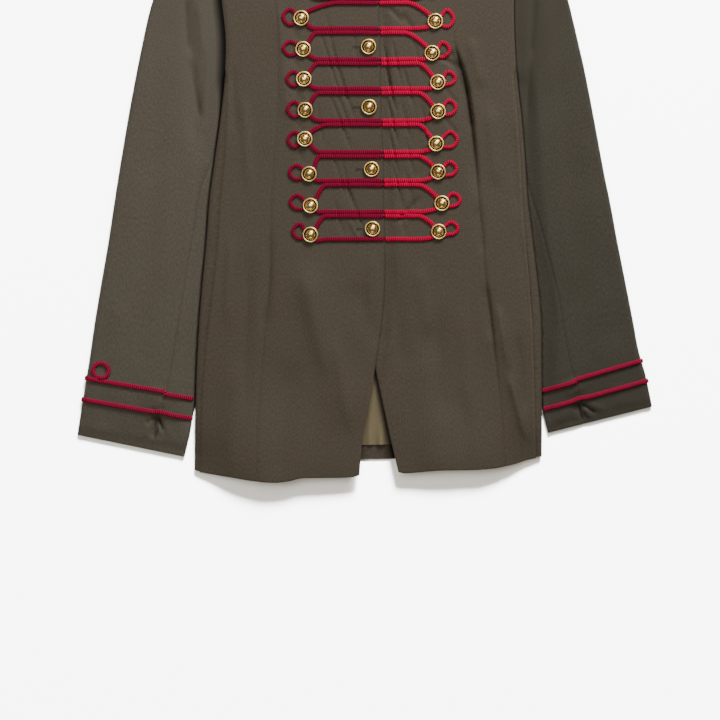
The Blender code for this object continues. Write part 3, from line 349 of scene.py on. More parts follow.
FINE_SLEEVE_FOLDS = table(FOLD_COLUMNS, [
    (-264.4, 635, -255, 660, 2.2, -2.4), (-264.4, 637.5, -267.5, 671.2, 2.2, -2),
    (-263.8, 638.8, -280, 648.8, 2.2, -1.5), (-261.2, 648.8, -261.9, 663.8, 2.6, 1.1),
    (-272.5, 650, -278.8, 666.2, 3.4, 0.8), (-252.5, 650, -245, 668.8, 3.4, 0.7),
    (-271.2, 627.5, -264.4, 640, 2.2, -0.7), (263.1, 620.6, 287.5, 636.9, 2, -2.2),
    (263.1, 621.2, 269.4, 645, 2, -2.6), (262.5, 621.2, 252.5, 650.6, 2, -1.2),
    (268.8, 628.8, 280, 642.5, 3, 1.5), (258.8, 630, 261.2, 645, 2.6, 0.9),
    (277.5, 623.8, 297.5, 631.2, 3.6, 0.8), (247.5, 628.8, 240, 648.8, 3.4, 0.7),
    (253.8, 600, 261.2, 617.5, 2.4, -0.6), (-205, 193.8, -211.2, 268.8, 4, -0.5),
    (-227.5, 106.2, -222.5, 193.8, 5, -1.5), (-222.5, 188.8, -206.2, 281.2, 5, -1.3),
    (-206.2, 276.2, -198.8, 325, 4.5, -0.7), (-211.2, 118.8, -205, 193.8, 4.5, 0.8),
    (210, 106.2, 203.8, 198.8, 3.2, -1.4), (203.8, 191.2, 195, 293.8, 3, -1.1),
    (-260, 168.8, -265, 356.2, 12, -0.7), (-245, 306.2, -260, 493.8, 11, 0.7),
    (-285, 306.2, -300, 493.8, 12, 0.7), (-277.5, 493.8, -285, 583.8, 10, -0.7),
    (-310, 493.8, -320, 581.2, 9, 0.6), (-203.8, 356.2, -215, 418.8, 4, -0.6),
    (-235, 531.2, -240, 598.8, 6, -0.6), (-300, 603.8, -302.5, 663.8, 7, 0.6),
    (-325, 608.8, -330, 656.2, 7, -0.5), (225, 118.8, 230, 243.8, 8, 0.6),
    (240, 193.8, 252.5, 368.8, 10, -0.8), (271.2, 268.8, 290, 443.8, 11, 0.8),
    (235, 343.8, 257.5, 493.8, 9, 0.7), (295, 431.2, 312.5, 556.2, 9, -0.7),
    (277.5, 493.8, 290, 576.2, 9, 0.6), (225, 443.8, 235, 556.2, 5, -0.7),
    (308.8, 596.2, 317.5, 628.8, 7, 0.6), (295, 601.2, 300, 636.2, 6, -0.5),
])

# How deep each princess seam is sunk, down the front
SEAM_DEPTHS = table(
    ("down", "left", "right"),
    [(0, 0.2, 0.2), (170, 0.2, 0.4), (196, 0.2, 3.4), (290, 0.25, 4.2), (335, 0.3, 1.8),
     (400, 0.6, 1.0), (470, 0.8, 1.2), (500, 0.8, 2.2), (540, 0.7, 2.2), (580, 0.4, 0.8),
     (650, 0.35, 0.5), (730, 0.35, 0.5)],
)

# The loop outside each side button: its reach, its height and how far its middle lies below the button
LOOPS = {
    "left": table(("reach", "tall", "drop"), [
        (25.4, 24.0, -1.5), (25.0, 24.6, -1.5), (26.9, 22.3, -1.1), (23.6, 23.1, -0.4), (24.4, 23.8, -1.0),
        (23.4, 24.0, 0.9), (26.9, 22.8, -2.1), (27.8, 22.5, -4.6), (24.5, 23.4, -4.2)]),
    "right": table(("reach", "tall", "drop"), [
        (25.5, 24.0, -3.5), (25.8, 26.4, -3.4), (24.4, 23.6, -4.4), (24.4, 21.0, -5.2), (25.0, 22.9, -5.0),
        (28.9, 24.4, -5.4), (25.8, 21.9, -4.1), (25.2, 21.0, -4.4), (26.6, 20.3, -4.2)]),
}


def smooth(share):
    share = np.clip(share, 0.0, 1.0)
    return share * share * (3 - 2 * share)


def mix(a, b, share):
    return a + (b - a) * share


def bell(distance, width=1.0):
    return np.exp(-((distance / width) ** 2))


def read(rows, name, at, key="down"):
    """A column's value between its rows, on a smooth curve through them."""
    xs, ys = np.asarray(rows[key], float), np.asarray(rows[name], float)
    at = np.clip(np.asarray(at, float), xs[0], xs[-1])
    i = np.clip(np.searchsorted(xs, at, side="right") - 1, 0, len(xs) - 2)
    k = np.arange(len(xs))
    a, b = np.maximum(k - 1, 0), np.minimum(k + 1, len(xs) - 1)
    slope = (ys[b] - ys[a]) / (xs[b] - xs[a])
    step = xs[i + 1] - xs[i]
    t = (at - xs[i]) / step
    return ((2 * t**3 - 3 * t**2 + 1) * ys[i] + (t**3 - 2 * t**2 + t) * step * slope[i]
            + (3 * t**2 - 2 * t**3) * ys[i + 1] + (t**3 - t**2) * step * slope[i + 1])


def sign(side):
    return -1 if side == "left" else 1


def edge(side, down):
    return read(BODY, side + "_edge", down)


def neckline(across, drop):
    return drop * np.sqrt(np.maximum(0.0, 1 - (across / NECK_HALF) ** 2))


def shoulder(across):
    return np.maximum(0.0, np.abs(across) - NECK_HALF) * SHOULDER_DROP / (SHOULDER_HALF - NECK_HALF)


def front_top(across):
    inner = np.maximum(SHOULDER_ROLL, neckline(across, NECK_DROP_FRONT))
    return np.where(np.abs(across) >= NECK_HALF - 0.01, shoulder(across) + SHOULDER_ROLL, inner)


def back_top(across):
    """The top of the back's flat part, where its roll over each shoulder starts."""
    over = shoulder(across) + SHOULDER_ROLL - SEAM
    beside = smooth((np.abs(across) - NECK_HALF + 6) / 6)
    inner = np.maximum(neckline(across, NECK_DROP_BACK), over * beside)
    return np.where(np.abs(across) >= NECK_HALF, over, inner)


def creases(folds, across, down):
    total = np.zeros(np.broadcast(across, down).shape)
    for x1, y1, x2, y2, width, rise in zip(*(folds[c] for c in FOLD_COLUMNS)):
        dx, dy = x2 - x1, y2 - y1
        along = ((across - x1) * dx + (down - y1) * dy) / (dx * dx + dy * dy)
        away = np.abs((across - x1) * dy - (down - y1) * dx) / np.hypot(dx, dy)
        inside = (along > 0) & (along < 1) & (away < 3 * width)
        ends = smooth(4 * along) * smooth(4 * (1 - along))
        total += np.where(inside, rise * bell(away, width) * ends, 0.0)
    return total


def ripple(across, down, shift=0.0):
    """The slight unevenness of cloth that lies loosely."""
    broad = np.sin(across / 31 + down / 53 + 0.7 + shift) * np.sin(down / 41 - across / 87 + 2 * shift)
    small = np.sin(across / 12.7 + down / 29 + 1.1 + shift) * np.sin(down / 16.9 - across / 37 + shift)
    return RIPPLE * broad + 0.4 * RIPPLE * small


def front_height(across, down):
    inside = np.minimum(across - edge("left", down), edge("right", down) - across)
    height = np.full(np.broadcast(across, down).shape, FRONT_LEVEL)
    for side in (-1, 1):
        height += 3.0 * np.exp(-(((across - side * 92) / 62) ** 2) - ((down - 235) / 85) ** 2)
    height -= 2.0 * (1 - smooth((down - SHOULDER_ROLL) / 70))
    height += HEM_LIFT * smooth((down - HEM_LIFT_FROM) / 160) * smooth(inside / 90)
    wave = 3.0 * bell(np.abs(across) - 122, 42) - 3.0 * bell(across - 20, 45)
    height += wave * smooth((down - 610) / 90) - 4.5 * smooth((down - 650) / 55) * (1 - smooth(inside / 55))
    return height + creases(FOLDS, across, down) * smooth(inside / 20)


def lapped_height(side, across, down):
    height = front_height(across, down)
    if side == "right":
        beside = across - read(BODY, "lap", down)
        height = height - LAP_STEP * (1 - smooth((beside - LAP_CLEAR) / 14))
    return height


def front_surface(side, across, down):
    """The front's outer face with its small creases and sunk seams."""
    inside = np.minimum(across - edge("left", down), edge("right", down) - across)
    height = lapped_height(side, across, down)
    height += (creases(FINE_FOLDS, across, down) * FINE_SHARE + ripple(across, down)) * smooth(inside / 10)
    away = np.abs(across - read(BODY, side + "_princess", down))
    return height - read(SEAM_DEPTHS, side, down) * bell(away, SEAM_WIDTH)


def hem(side, across):
    return read(FRONT_HEM_LEFT if side == "left" else FRONT_HEM_RIGHT, "down", across, "across")


def underarm(side):
    return float(mix(front_top(SHOULDER_HALF), hem(side, edge(side, 700)), UNDERARM_SHARE))


def side_seam(side, down):
    open_share = np.clip((down - underarm(side) + 14) / 14, 0, 1)
    return edge(side, down) - sign(side) * read(BODY, side + "_roll", down) * open_share


def back_height(across, down):
    height = np.zeros(np.broadcast(across, down).shape)
    for side in ("left", "right"):
        inside = sign(side) * (edge(side, down) - across)
        tuck = np.maximum(0.0, read(SLEEVES[side], "tuck", down, "inner_down"))
        lifted = UNDER_SLEEVE_RISE * smooth((down - underarm(side) + 16) / 28)
        lifted = lifted * (1 - smooth((down - 642) / 46))
        height += lifted * (1 - smooth((inside - tuck - 4) / 18))
    return height


def sleeve_height(side, across, down):
    low = mix(ARMHOLE_LEVEL, TUCKED_LEVEL, smooth((down - underarm(side) + 12) / 26))
    low = mix(low, 8.0, smooth((down - 632) / 50))
    outside = sign(side) * (across - edge(side, down))
    rise = smooth(outside / 24)
    x1, d1, x2, d2 = CUFF_LINES[side]
    to_cuff = mix(d1, d2, (across - x1) / (x2 - x1)) - down
    crown = SLEEVE_CROWN - CUFF_SINK * (1 - smooth(to_cuff / 75)) - 1.8 * (1 - smooth(to_cuff / 14))
    low = np.minimum(low, crown)
    folds = creases(SLEEVE_FOLDS, across, down) * smooth((outside + 2) / 12)
    fine = creases(FINE_SLEEVE_FOLDS, across, down) + ripple(across, down, 1.3) * RIPPLE_ON_SLEEVE
    return np.maximum(SLEEVE_LEAST, mix(low, crown, rise) + folds + fine * smooth((outside - 2) / 10))


# Meshes

def spaced(length, step, close=(0.0, 0.45, 1.0, 1.8, 2.9)):
    """Shares from 0 to 1 of a length, a step apart, and closer at both ends."""
    ends = np.array(close) / length
    count = max(2, int(round(length * (1 - 2 * ends[-1]) / step)))
    middle = np.linspace(ends[-1], 1 - ends[-1], count + 1)
    return np.concatenate([ends[:-1], middle, 1 - ends[:-1][::-1]])


def crossing(line, limit, start):
    down = limit(start)
    for _ in range(12):
        down = limit(line(down))
    return down


def spread(first, second, columns, top, bottom, rows):
    """Places in a grid between two lines and two limits."""
    def line(down):
        return mix(first(down), second(down), columns)

    start = np.linspace(-1, 1, len(columns)) * 100
    down = mix(crossing(line, top, start), crossing(line, bottom, start), rows[:, None])
    return mix(first(down), second(down), columns), down


def points(across, down, height):
    return np.stack(np.broadcast_arrays(across, down, height), axis=-1).astype(float)


def metres(place):
    out = np.empty(place.shape)
    out[..., 0] = (place[..., 0] + SHIFT_ACROSS) * MM
    out[..., 1] = (SHIFT_DOWN - place[..., 1]) * MM
    out[..., 2] = place[..., 2] * MM
    return out


def linked(name, data):
    item = bpy.data.objects.new(name, data)
    bpy.context.scene.collection.objects.link(item)
    return item


def mesh_object(name, verts, faces, uv, face_slots, materials, seam=None, sharp=50):
    """An object with a UV map in metres of cloth, and a seam attribute that its material reads: painted
    shade below 0, and wear and painted highlight above.
    """
    mesh = bpy.data.meshes.new(name)
    mesh.from_pydata(verts.tolist(), [], faces)
    for item in materials:
        mesh.materials.append(item)
    mesh.polygons.foreach_set("material_index", np.asarray(face_slots, np.int32))
    mesh.polygons.foreach_set("use_smooth", np.ones(len(mesh.polygons), bool))
    owner = np.empty(len(mesh.loops), np.int32)
    mesh.loops.foreach_get("vertex_index", owner)
    layer = mesh.uv_layers.new(name="cloth")
    layer.data.foreach_set("uv", uv[owner].ravel())
    if seam is not None:
        mark = mesh.attributes.new("seam", "FLOAT", "POINT")
        mark.data.foreach_set("value", np.asarray(seam, np.float32))
    mesh.update()
    mesh.set_sharp_from_angle(angle=radians(sharp))
    item = linked(name, mesh)
    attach(item, "root")
    return item


def wall(name, patches, materials):
    """A closed wall. Each patch is (outer, inner, uv, seam, flip, faced), grids that meet at equal points.
    The materials are the outer face's, the inner face's and the edges'. Where a patch is faced, its
    inner face has the outer one's."""
    outer = np.concatenate([p[0].reshape(-1, 3) for p in patches])
    inner = np.concatenate([p[1].reshape(-1, 3) for p in patches])
    uv = np.concatenate([p[2].reshape(-1, 2) for p in patches]) * MM
    seam = np.concatenate([p[3].ravel() for p in patches])
    keys = np.floor(np.hstack([outer, inner]) / 0.01 + 0.37).astype(np.int64)
    _, first, same = np.unique(keys, axis=0, return_index=True, return_inverse=True)
    same = same.ravel()
    quads, faced, start = [], [], 0
    for patch in patches:
        rows, columns = patch[0].shape[:2]
        ids = same[start:start + rows * columns].reshape(rows, columns)
        start += rows * columns
        ring = [ids[:-1, :-1], ids[1:, :-1], ids[1:, 1:], ids[:-1, 1:]]
        if patch[4]:
            ring = ring[::-1]
        quads.append(np.stack(ring, axis=-1).reshape(-1, 4))
        faced.append(patch[5][:-1, :-1].ravel() if len(patch) > 5 else np.zeros(len(quads[-1]), bool))
    quads, faced = np.concatenate(quads), np.concatenate(faced)
    ways = np.stack([quads, np.roll(quads, -1, axis=1)], axis=-1).reshape(-1, 2)
    ways = ways[ways[:, 0] != ways[:, 1]]
    count = len(first)
    code, back = ways[:, 0] * count + ways[:, 1], ways[:, 1] * count + ways[:, 0]
    rim = ways[~np.isin(code, back)]
    sides = np.stack([rim[:, 1], rim[:, 0], rim[:, 0] + count, rim[:, 1] + count], axis=-1)
    faces, slots = [], []
    inner_quads = quads[:, ::-1] + count
    for group, index in ((quads, 0), (inner_quads[~faced], 1), (inner_quads[faced], 0), (sides, 2)):
        for face in group.tolist():
            kept = [v for v, after in zip(face, face[1:] + face[:1]) if v != after]
            if len(kept) > 2:
                faces.append(kept)
                slots.append(index)
    verts = metres(np.concatenate([outer[first], inner[first]]))
    return mesh_object(name, verts, faces, np.tile(uv[first], (2, 1)), slots, materials,
                       np.tile(seam[first], 2))


def sewn(made, node, patches, cloth="gabardine", inner="lining"):
    """A cloth piece that stands for a node."""
    item = wall(node + "_cloth", patches, [made[cloth], made[inner], made[cloth]])
    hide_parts(node)
    made["pieces"][node] = item


def soft_edge(distance, depth=0.55, width=0.9):
    """How far the face drops towards a folded edge."""
    return depth * bell(distance, width)


# Materials

def tree_of(name):
    made = bpy.data.materials.new(name)
    made.use_nodes = True
    return made, made.node_tree, made.node_tree.nodes["Principled BSDF"]


def feed(tree, node, inputs):
    """Each input is a value, or the output that feeds it."""
    for key, value in inputs.items():
        if isinstance(value, bpy.types.NodeSocket):
            tree.links.new(value, node.inputs[key])
        else:
            node.inputs[key].default_value = value
    return node


def add(tree, kind, inputs=None, **settings):
    node = tree.nodes.new("ShaderNode" + kind)
    for key, value in settings.items():
        setattr(node, key, value)
    return feed(tree, node, inputs or {})


def maths(tree, operation, a, b=0.0):
    return add(tree, "Math", {0: a, 1: b}, operation=operation).outputs[0]


def times(tree, a, b):
    return maths(tree, "MULTIPLY", a, b)


def blend(tree, share, a, b, kind="MIX"):
    return add(tree, "Mix", {0: share, 6: a, 7: b}, data_type="RGBA", blend_type=kind).outputs[2]


def shaded(tree, colour, shade):
    grey = add(tree, "CombineColor", {0: shade, 1: shade, 2: shade}).outputs[0]
    return blend(tree, 1.0, colour, grey, "MULTIPLY")


def rgb(colour, factor=1.0):
    return (*(c * factor for c in colour), 1.0)


def ramp(tree, value, low, high, start=0.0, end=1.0):
    return add(tree, "MapRange", {"Value": value, "From Min": start, "From Max": end,
                                  "To Min": low, "To Max": high}).outputs["Result"]


def noise(tree, place, scale, detail, roughness=0.5):
    return add(tree, "TexNoise", {"Vector": place, "Scale": scale, "Detail": detail,
                                  "Roughness": roughness}).outputs["Fac"]


def stretched(tree, uv, scale):
    return add(tree, "Mapping", {"Vector": uv, "Scale": scale}).outputs[0]


def bumped(tree, height, distance, strength, **below):
    return add(tree, "Bump", {"Height": height, "Distance": distance, "Strength": strength,
                              **below}).outputs[0]


def cloth_uv(tree):
    return add(tree, "UVMap", uv_map="cloth").outputs["UV"]


# The seam attribute: painted shade below 0, wear and painted highlight above 0
def painted_light_and_wear_mark(tree):
    return add(tree, "Attribute", attribute_name="seam").outputs["Fac"]


def painted_shade_share(tree):
    """How dark the cloth is painted where the seam mark is below 0: painted shade in seams, creases and
    gaps.
    """
    return ramp(tree, maths(tree, "MINIMUM", painted_light_and_wear_mark(tree)), DARKEST_PAINTED_SHADE, 1.0, MARK_RANGE[0], 0.0)


def gabardine(name, colour, turn=0.0):
    """Fine steep twill in a heathered yarn, with a little sheen, paler with wear on raised edges and with a
    painted highlight on the side seams' ridges, and darker with painted shade in seams, creases and gaps.
    """
    made, tree, surface = tree_of(name)
    uv = cloth_uv(tree)
    turned = add(tree, "Mapping", {"Vector": uv, "Rotation": (0, 0, radians(TWILL_ANGLE + turn))})
    twill = add(tree, "TexWave", {"Vector": turned.outputs[0], "Scale": 0.314 / TWILL_PITCH,
                                  "Distortion": 0.6, "Detail": 1.0, "Detail Scale": 2.0},
                bands_direction="X").outputs["Fac"]
    yarn = noise(tree, uv, 1500.0, 2.0)
    slub = noise(tree, stretched(tree, uv, (560, 300, 1)), 1.0, 3.0)
    cloud = noise(tree, uv, 9.0, 3.0, 0.55)
    shade = times(tree, ramp(tree, twill, 0.86, 1.10), ramp(tree, yarn, 0.86, 1.14))
    shade = times(tree, shade, ramp(tree, slub, 0.55, 1.45))
    shade = times(tree, shade, ramp(tree, cloud, 0.90, 1.10))
    # Paler where the seam mark is above 0, for wear and the painted highlight; darker with painted shade
    # where it is below 0
    wear_and_painted_highlight = ramp(tree, maths(tree, "MAXIMUM", painted_light_and_wear_mark(tree)), 1.0, PALEST_WEAR_AND_HIGHLIGHT)
    shade = times(tree, shade, times(tree, painted_shade_share(tree), wear_and_painted_highlight))
    warm = blend(tree, cloud, rgb((1.03, 1.0, 0.95)), rgb((0.97, 1.0, 1.05)))
    feed(tree, surface, {
        "Base Color": shaded(tree, blend(tree, 1.0, rgb(colour), warm, "MULTIPLY"), shade),
        "Roughness": ramp(tree, slub, 0.58, 0.74),
        "Normal": bumped(tree, twill, 0.00012, 0.35, Normal=bumped(tree, slub, 0.0003, 0.25)),
        "Specular IOR Level": 0.12,
        "Sheen Weight": 0.05,
        "Sheen Roughness": 0.4,
        "Sheen Tint": rgb((0.8, 0.74, 0.62)),
    })
    return made


def satin(name):
    """Lining: a smooth satin with fine threads, darkened with the vent's painted shadow where the seam mark
    is below 0.
    """
    made, tree, surface = tree_of(name)
    uv = cloth_uv(tree)
    threads = noise(tree, stretched(tree, uv, (2600, 160, 1)), 1.0, 2.0)
    shade = times(tree, ramp(tree, threads, 0.82, 1.18), ramp(tree, noise(tree, uv, 24.0, 2.0), 0.92, 1.08))
    feed(tree, surface, {
        "Base Color": shaded(tree, rgb(LINING_COLOUR), times(tree, shade, painted_shade_share(tree))),
        "Roughness": ramp(tree, threads, 0.30, 0.42),
        "Normal": bumped(tree, threads, 0.0001, 0.3),
        "Specular IOR Level": 0.2,
    })
    return made


def braid_material(name, colour, dark):
    """Knitted braid: ribs that meet in chevrons along its middle, with painted shade in the grooves between
    them, patchy with noise.
    """
    made, tree, surface = tree_of(name)
    uv = cloth_uv(tree)
    parts = add(tree, "SeparateXYZ", {"Vector": uv}).outputs
    slanted = maths(tree, "ADD", parts["X"], times(tree, maths(tree, "ABSOLUTE", parts["Y"]), RIB_SLANT))
    rib = ramp(tree, maths(tree, "SINE", times(tree, slanted, 2 * pi / RIB_PITCH)), 0.0, 1.0, -1.0)
    fleck = noise(tree, stretched(tree, uv, (260, 600, 1)), 1.0, 3.0)
    fibre = noise(tree, uv, 2400.0, 2.0)
    # The dark colour is painted shade, laid in the grooves between the ribs
    groove_painted_shade = ramp(tree, rib, 1.0, 0.0, 0.28, 0.60)
    tone = blend(tree, times(tree, groove_painted_shade, ramp(tree, fleck, 0.6, 1.3)), rgb(colour), rgb(dark))
    feed(tree, surface, {
        "Base Color": shaded(tree, tone, ramp(tree, fibre, 0.8, 1.2)),
        "Roughness": ramp(tree, fibre, 0.6, 0.8),
        "Normal": bumped(tree, maths(tree, "ADD", rib, times(tree, fibre, 0.5)), 0.0004, 0.45),
        "Specular IOR Level": 0.03,
    })
    return made


def brass(name, colour, roughness, scuffs):
    made, tree, surface = tree_of(name)
    place = add(tree, "TexCoord").outputs["Object"]
    rubbed = noise(tree, place, 900.0, 4.0)
    feed(tree, surface, {
        "Base Color": blend(tree, noise(tree, place, 130.0, 2.0), rgb(colour), rgb(colour, 0.82)),
        "Roughness": ramp(tree, rubbed, roughness, roughness + scuffs),
        "Normal": bumped(tree, rubbed, 0.00002, 0.1),
        "Metallic": 1.0,
    })
    return made


def thread(name, colour):
    made, tree, surface = tree_of(name)
    fibre = noise(tree, add(tree, "TexCoord").outputs["Object"], 2500.0, 3.0)
    feed(tree, surface, {
        "Base Color": blend(tree, fibre, rgb(colour, 0.7), rgb(colour, 1.3)),
        "Roughness": 0.7,
        "Normal": bumped(tree, fibre, 0.0002, 0.5),
    })
    return made


# Panels

def build_front_panels(made):
    """Each side's centre front, from its princess seam to its free edge, and its side front."""
    rows = spaced(680, 2.4)
    for side, free, free_width in (("left", "lap", 130), ("right", "underlap", 150)):
        half = sign(side) * SEAM / 2

        def free_edge(down):
            return read(BODY, free, down)

        def front_seam(down):
            return read(BODY, side + "_princess", down) - half

        def own_seam(down):
            return read(BODY, side + "_princess", down) + half

        def outer_line(down):
            return side_seam(side, down) - half

        def bottom(across):
            return hem(side, across)

        lines = (front_seam, free_edge)[::-sign(side)]
        x, d = spread(*lines, spaced(free_width, 2.0), front_top, bottom, rows)
        panel("front_" + side, side, x, d, made, free=np.abs(x - free_edge(d)))
        lines = (outer_line, own_seam)[::-sign(side)]
        x, d = spread(*lines, spaced(70, 2.3), front_top, bottom, rows)
        panel("side_front_" + side, side, x, d, made, rolled=np.abs(x - outer_line(d)))


def panel(name, side, x, d, made, free=None, rolled=None):
    """A panel of the front. free is the distance from its free edge, rolled from the armhole or side
    seam."""
    base = lapped_height(side, x, d)
    z = front_surface(side, x, d)
    to_hem = hem(side, x) - d
    z = z - soft_edge(to_hem)
    away = np.abs(x - read(BODY, side + "_princess", d))
    # The seam mark: painted shade in the princess seams, along the lap's edge above the vent, in the
    # armhole and side seams and in the deeper creases; paler wear along the hem and the vent's edges; a
    # painted highlight on the side seam's ridge
    mark = -0.3 * read(SEAM_DEPTHS, side, d) * bell(away, 1.1)
    mark = mark + 0.8 * bell(to_hem, 1.5)
    if free is not None:
        z = z - soft_edge(free)
        mark = mark + mix(-0.5, 0.25, smooth((d - VENT_APEX) / 12)) * bell(free, 1.6)
    if rolled is not None:
        above = 1 - smooth((d - underarm(side) + 20) / 30)
        z = z - mix(0.45, 1.3, above) * bell(rolled, mix(1.4, 2.6, above))
        mark = mark - mix(0.2, 0.6, above) * bell(rolled, 1.2)
        mark = mark + SIDE_SEAM_PAINTED_HIGHLIGHT[side] * bell(rolled - 1.6, 0.9) * (1 - 0.4 * above)
    mark = mark - 0.45 * np.clip(-creases(FINE_FOLDS, x, d) - 0.5, 0, 1.2)
    low = np.minimum(base - WALL, z - LEAST_WALL)
    faced = to_hem < FACING
    if free is not None:
        faced = faced | (free < FACING)
    uv = np.stack([x, d], axis=-1)
    sewn(made, name, [(points(x, d, z), points(x, d, low), uv, np.clip(mark, *MARK_RANGE), False, faced)])


def build_back(made):
    def limit(side):
        def line(down):
            return side_seam(side, down) + sign(side) * SEAM / 2
        return line

    def bottom(across):
        return read(BACK_HEM, "down", across, "across")

    outer_shares = np.concatenate([np.linspace(0, 0.09, 12), np.linspace(0.09, NECK_SHARE, 17)[1:]])
    middle = np.linspace(NECK_SHARE, 1 - NECK_SHARE, 91)[1:]
    columns = np.concatenate([outer_shares, middle, 1 - outer_shares[::-1][1:]])
    left_neck, right_neck = len(outer_shares) - 1, len(columns) - len(outer_shares)
    rows = spaced(660, 4.8)
    x, d = spread(limit("left"), limit("right"), columns, back_top, bottom, rows)
    low = back_height(x, d)
    uv = np.stack([x, d], axis=-1)
    to_hem = bottom(x) - d
    # The seam mark: paler wear along the hem, and the vent's painted shadow
    mark = np.clip(0.7 * bell(to_hem, 1.6) + vent_painted_shadow(x, d), *MARK_RANGE)
    patches = [(points(x, d, low), points(x, d, low + WALL), uv, mark, True, to_hem < BACK_HEM_DEPTH + 5)]

    turns = np.linspace(0, 1, 13)
    for side, column in (("left", 0), ("right", len(columns) - 1)):
        out = sign(side)
        front_down = mix(front_top(SHOULDER_HALF), hem(side, edge(side, 700)), rows)
        start = int(np.argmax(front_down > underarm(side) - 13))
        fd = front_down[start:, None]
        seam_x = side_seam(side, fd)
        high = front_height(seam_x, fd) - 0.45
        base = low[start:, column][:, None]
        down = mix(d[start:, column][:, None], fd, turns)
        centre = limit(side)(down)
        width = out * (edge(side, down) - centre)
        outer, inner = rolled(width, base, high, turns)
        bulge = out * (1 - np.cos(pi * turns)) * (width + high - base) * 0.6
        strip_uv = np.stack([x[start:, column][:, None] + bulge, down], axis=-1)
        # Painted shade on the side roll: where it turns outermost, and where it meets the front
        strip_mark = -0.5 * bell((1 - turns) * 14) - 0.9 * bell(turns - 0.42, 0.17) + 0 * down
        grids = [points(centre + out * reach, down, z) for reach, z in (outer, inner)]
        patches.append((*grids, strip_uv, strip_mark, side == "right"))
    for first, last in ((0, left_neck), (right_neck, len(columns) - 1)):
        own = x[0, first:last + 1][None, :]
        centre = d[0, first:last + 1][None, :]
        high = front_height(own, centre) - 0.3
        t = turns[:, None]
        outer, inner = rolled(SHOULDER_ROLL - SEAM, 0.0, high, t)
        grids = [points(own, centre - reach, z) for reach, z in (outer, inner)]
        strip_uv = np.stack([own + 0 * t, centre - (1 - np.cos(pi * t)) * 12], axis=-1)
        # Painted shade where the shoulder roll meets the front
        strip_mark = -0.6 * bell((1 - t) * 14) + 0 * own
        patches.append((*grids, strip_uv, strip_mark, False))
    sewn(made, "back", patches)


def rolled(width, low, high, turn):
    """The outer and inner face's (outwards, height) on a roll from its underside to its top."""
    half = (high - low) / 2
    return [((width - w) * np.sin(pi * turn), low + half - (half - w) * np.cos(pi * turn))
            for w in (0, WALL)]


def vent_painted_shadow(across, down):
    """The seam mark in the vent: a painted shadow, black where the under front's edge hangs over it, with a
    thin painted shade beside the lap's edge.
    """
    under = np.maximum(read(BODY, "underlap", down) - across, 0.0)
    beside = np.abs(across - read(BODY, "lap", down))
    gloom = -2.0 * (1 - smooth((under - 0.8) / 6.5)) - 0.5 * bell(beside, 1.6)
    return np.clip(gloom * smooth((down - VENT_APEX + 30) / 10), -2, 0)


def build_lining(made):
    """The lining in the vent: satin with soft folds, puckered where it meets the hem."""
    def left_side(down):
        return edge("left", down) + LINING_MARGIN

    def right_side(down):
        return edge("right", down) - LINING_MARGIN

    def top(across):
        return LINING_TOP + 0 * across

    def bottom(across):
        return read(BACK_HEM, "down", across, "across") - BACK_HEM_DEPTH

    x, d = spread(left_side, right_side, np.linspace(0, 1, 181), top, bottom, np.linspace(0, 1, 70))
    level = back_height(x, d) + WALL + SEAM + LINING_WALL
    near = np.exp(-((bottom(x) - d) / 16))
    puckers = np.sin(x / 2.3 + 0.9 * np.sin(x / 9.1)) * 0.9 * near * (0.5 + 0.5 * np.sin(x / 17 + 0.4))
    soft = 1.1 * np.sin(x / 11.5 + d / 58) * smooth((d - 540) / 60) * (0.6 + 0.4 * np.sin(x / 31 + 1.7))
    z = level + 1.5 + 0.8 * (2.2 * puckers + soft)
    uv = np.stack([x, d], axis=-1)
    under = np.minimum(level - LINING_WALL, z - 0.4)
    # Its seam mark is the vent's painted shadow
    grid = points(x, d, z), points(x, d, under), uv, vent_painted_shadow(x, d), False
    sewn(made, "back_lining", [grid], "lining", "lining")


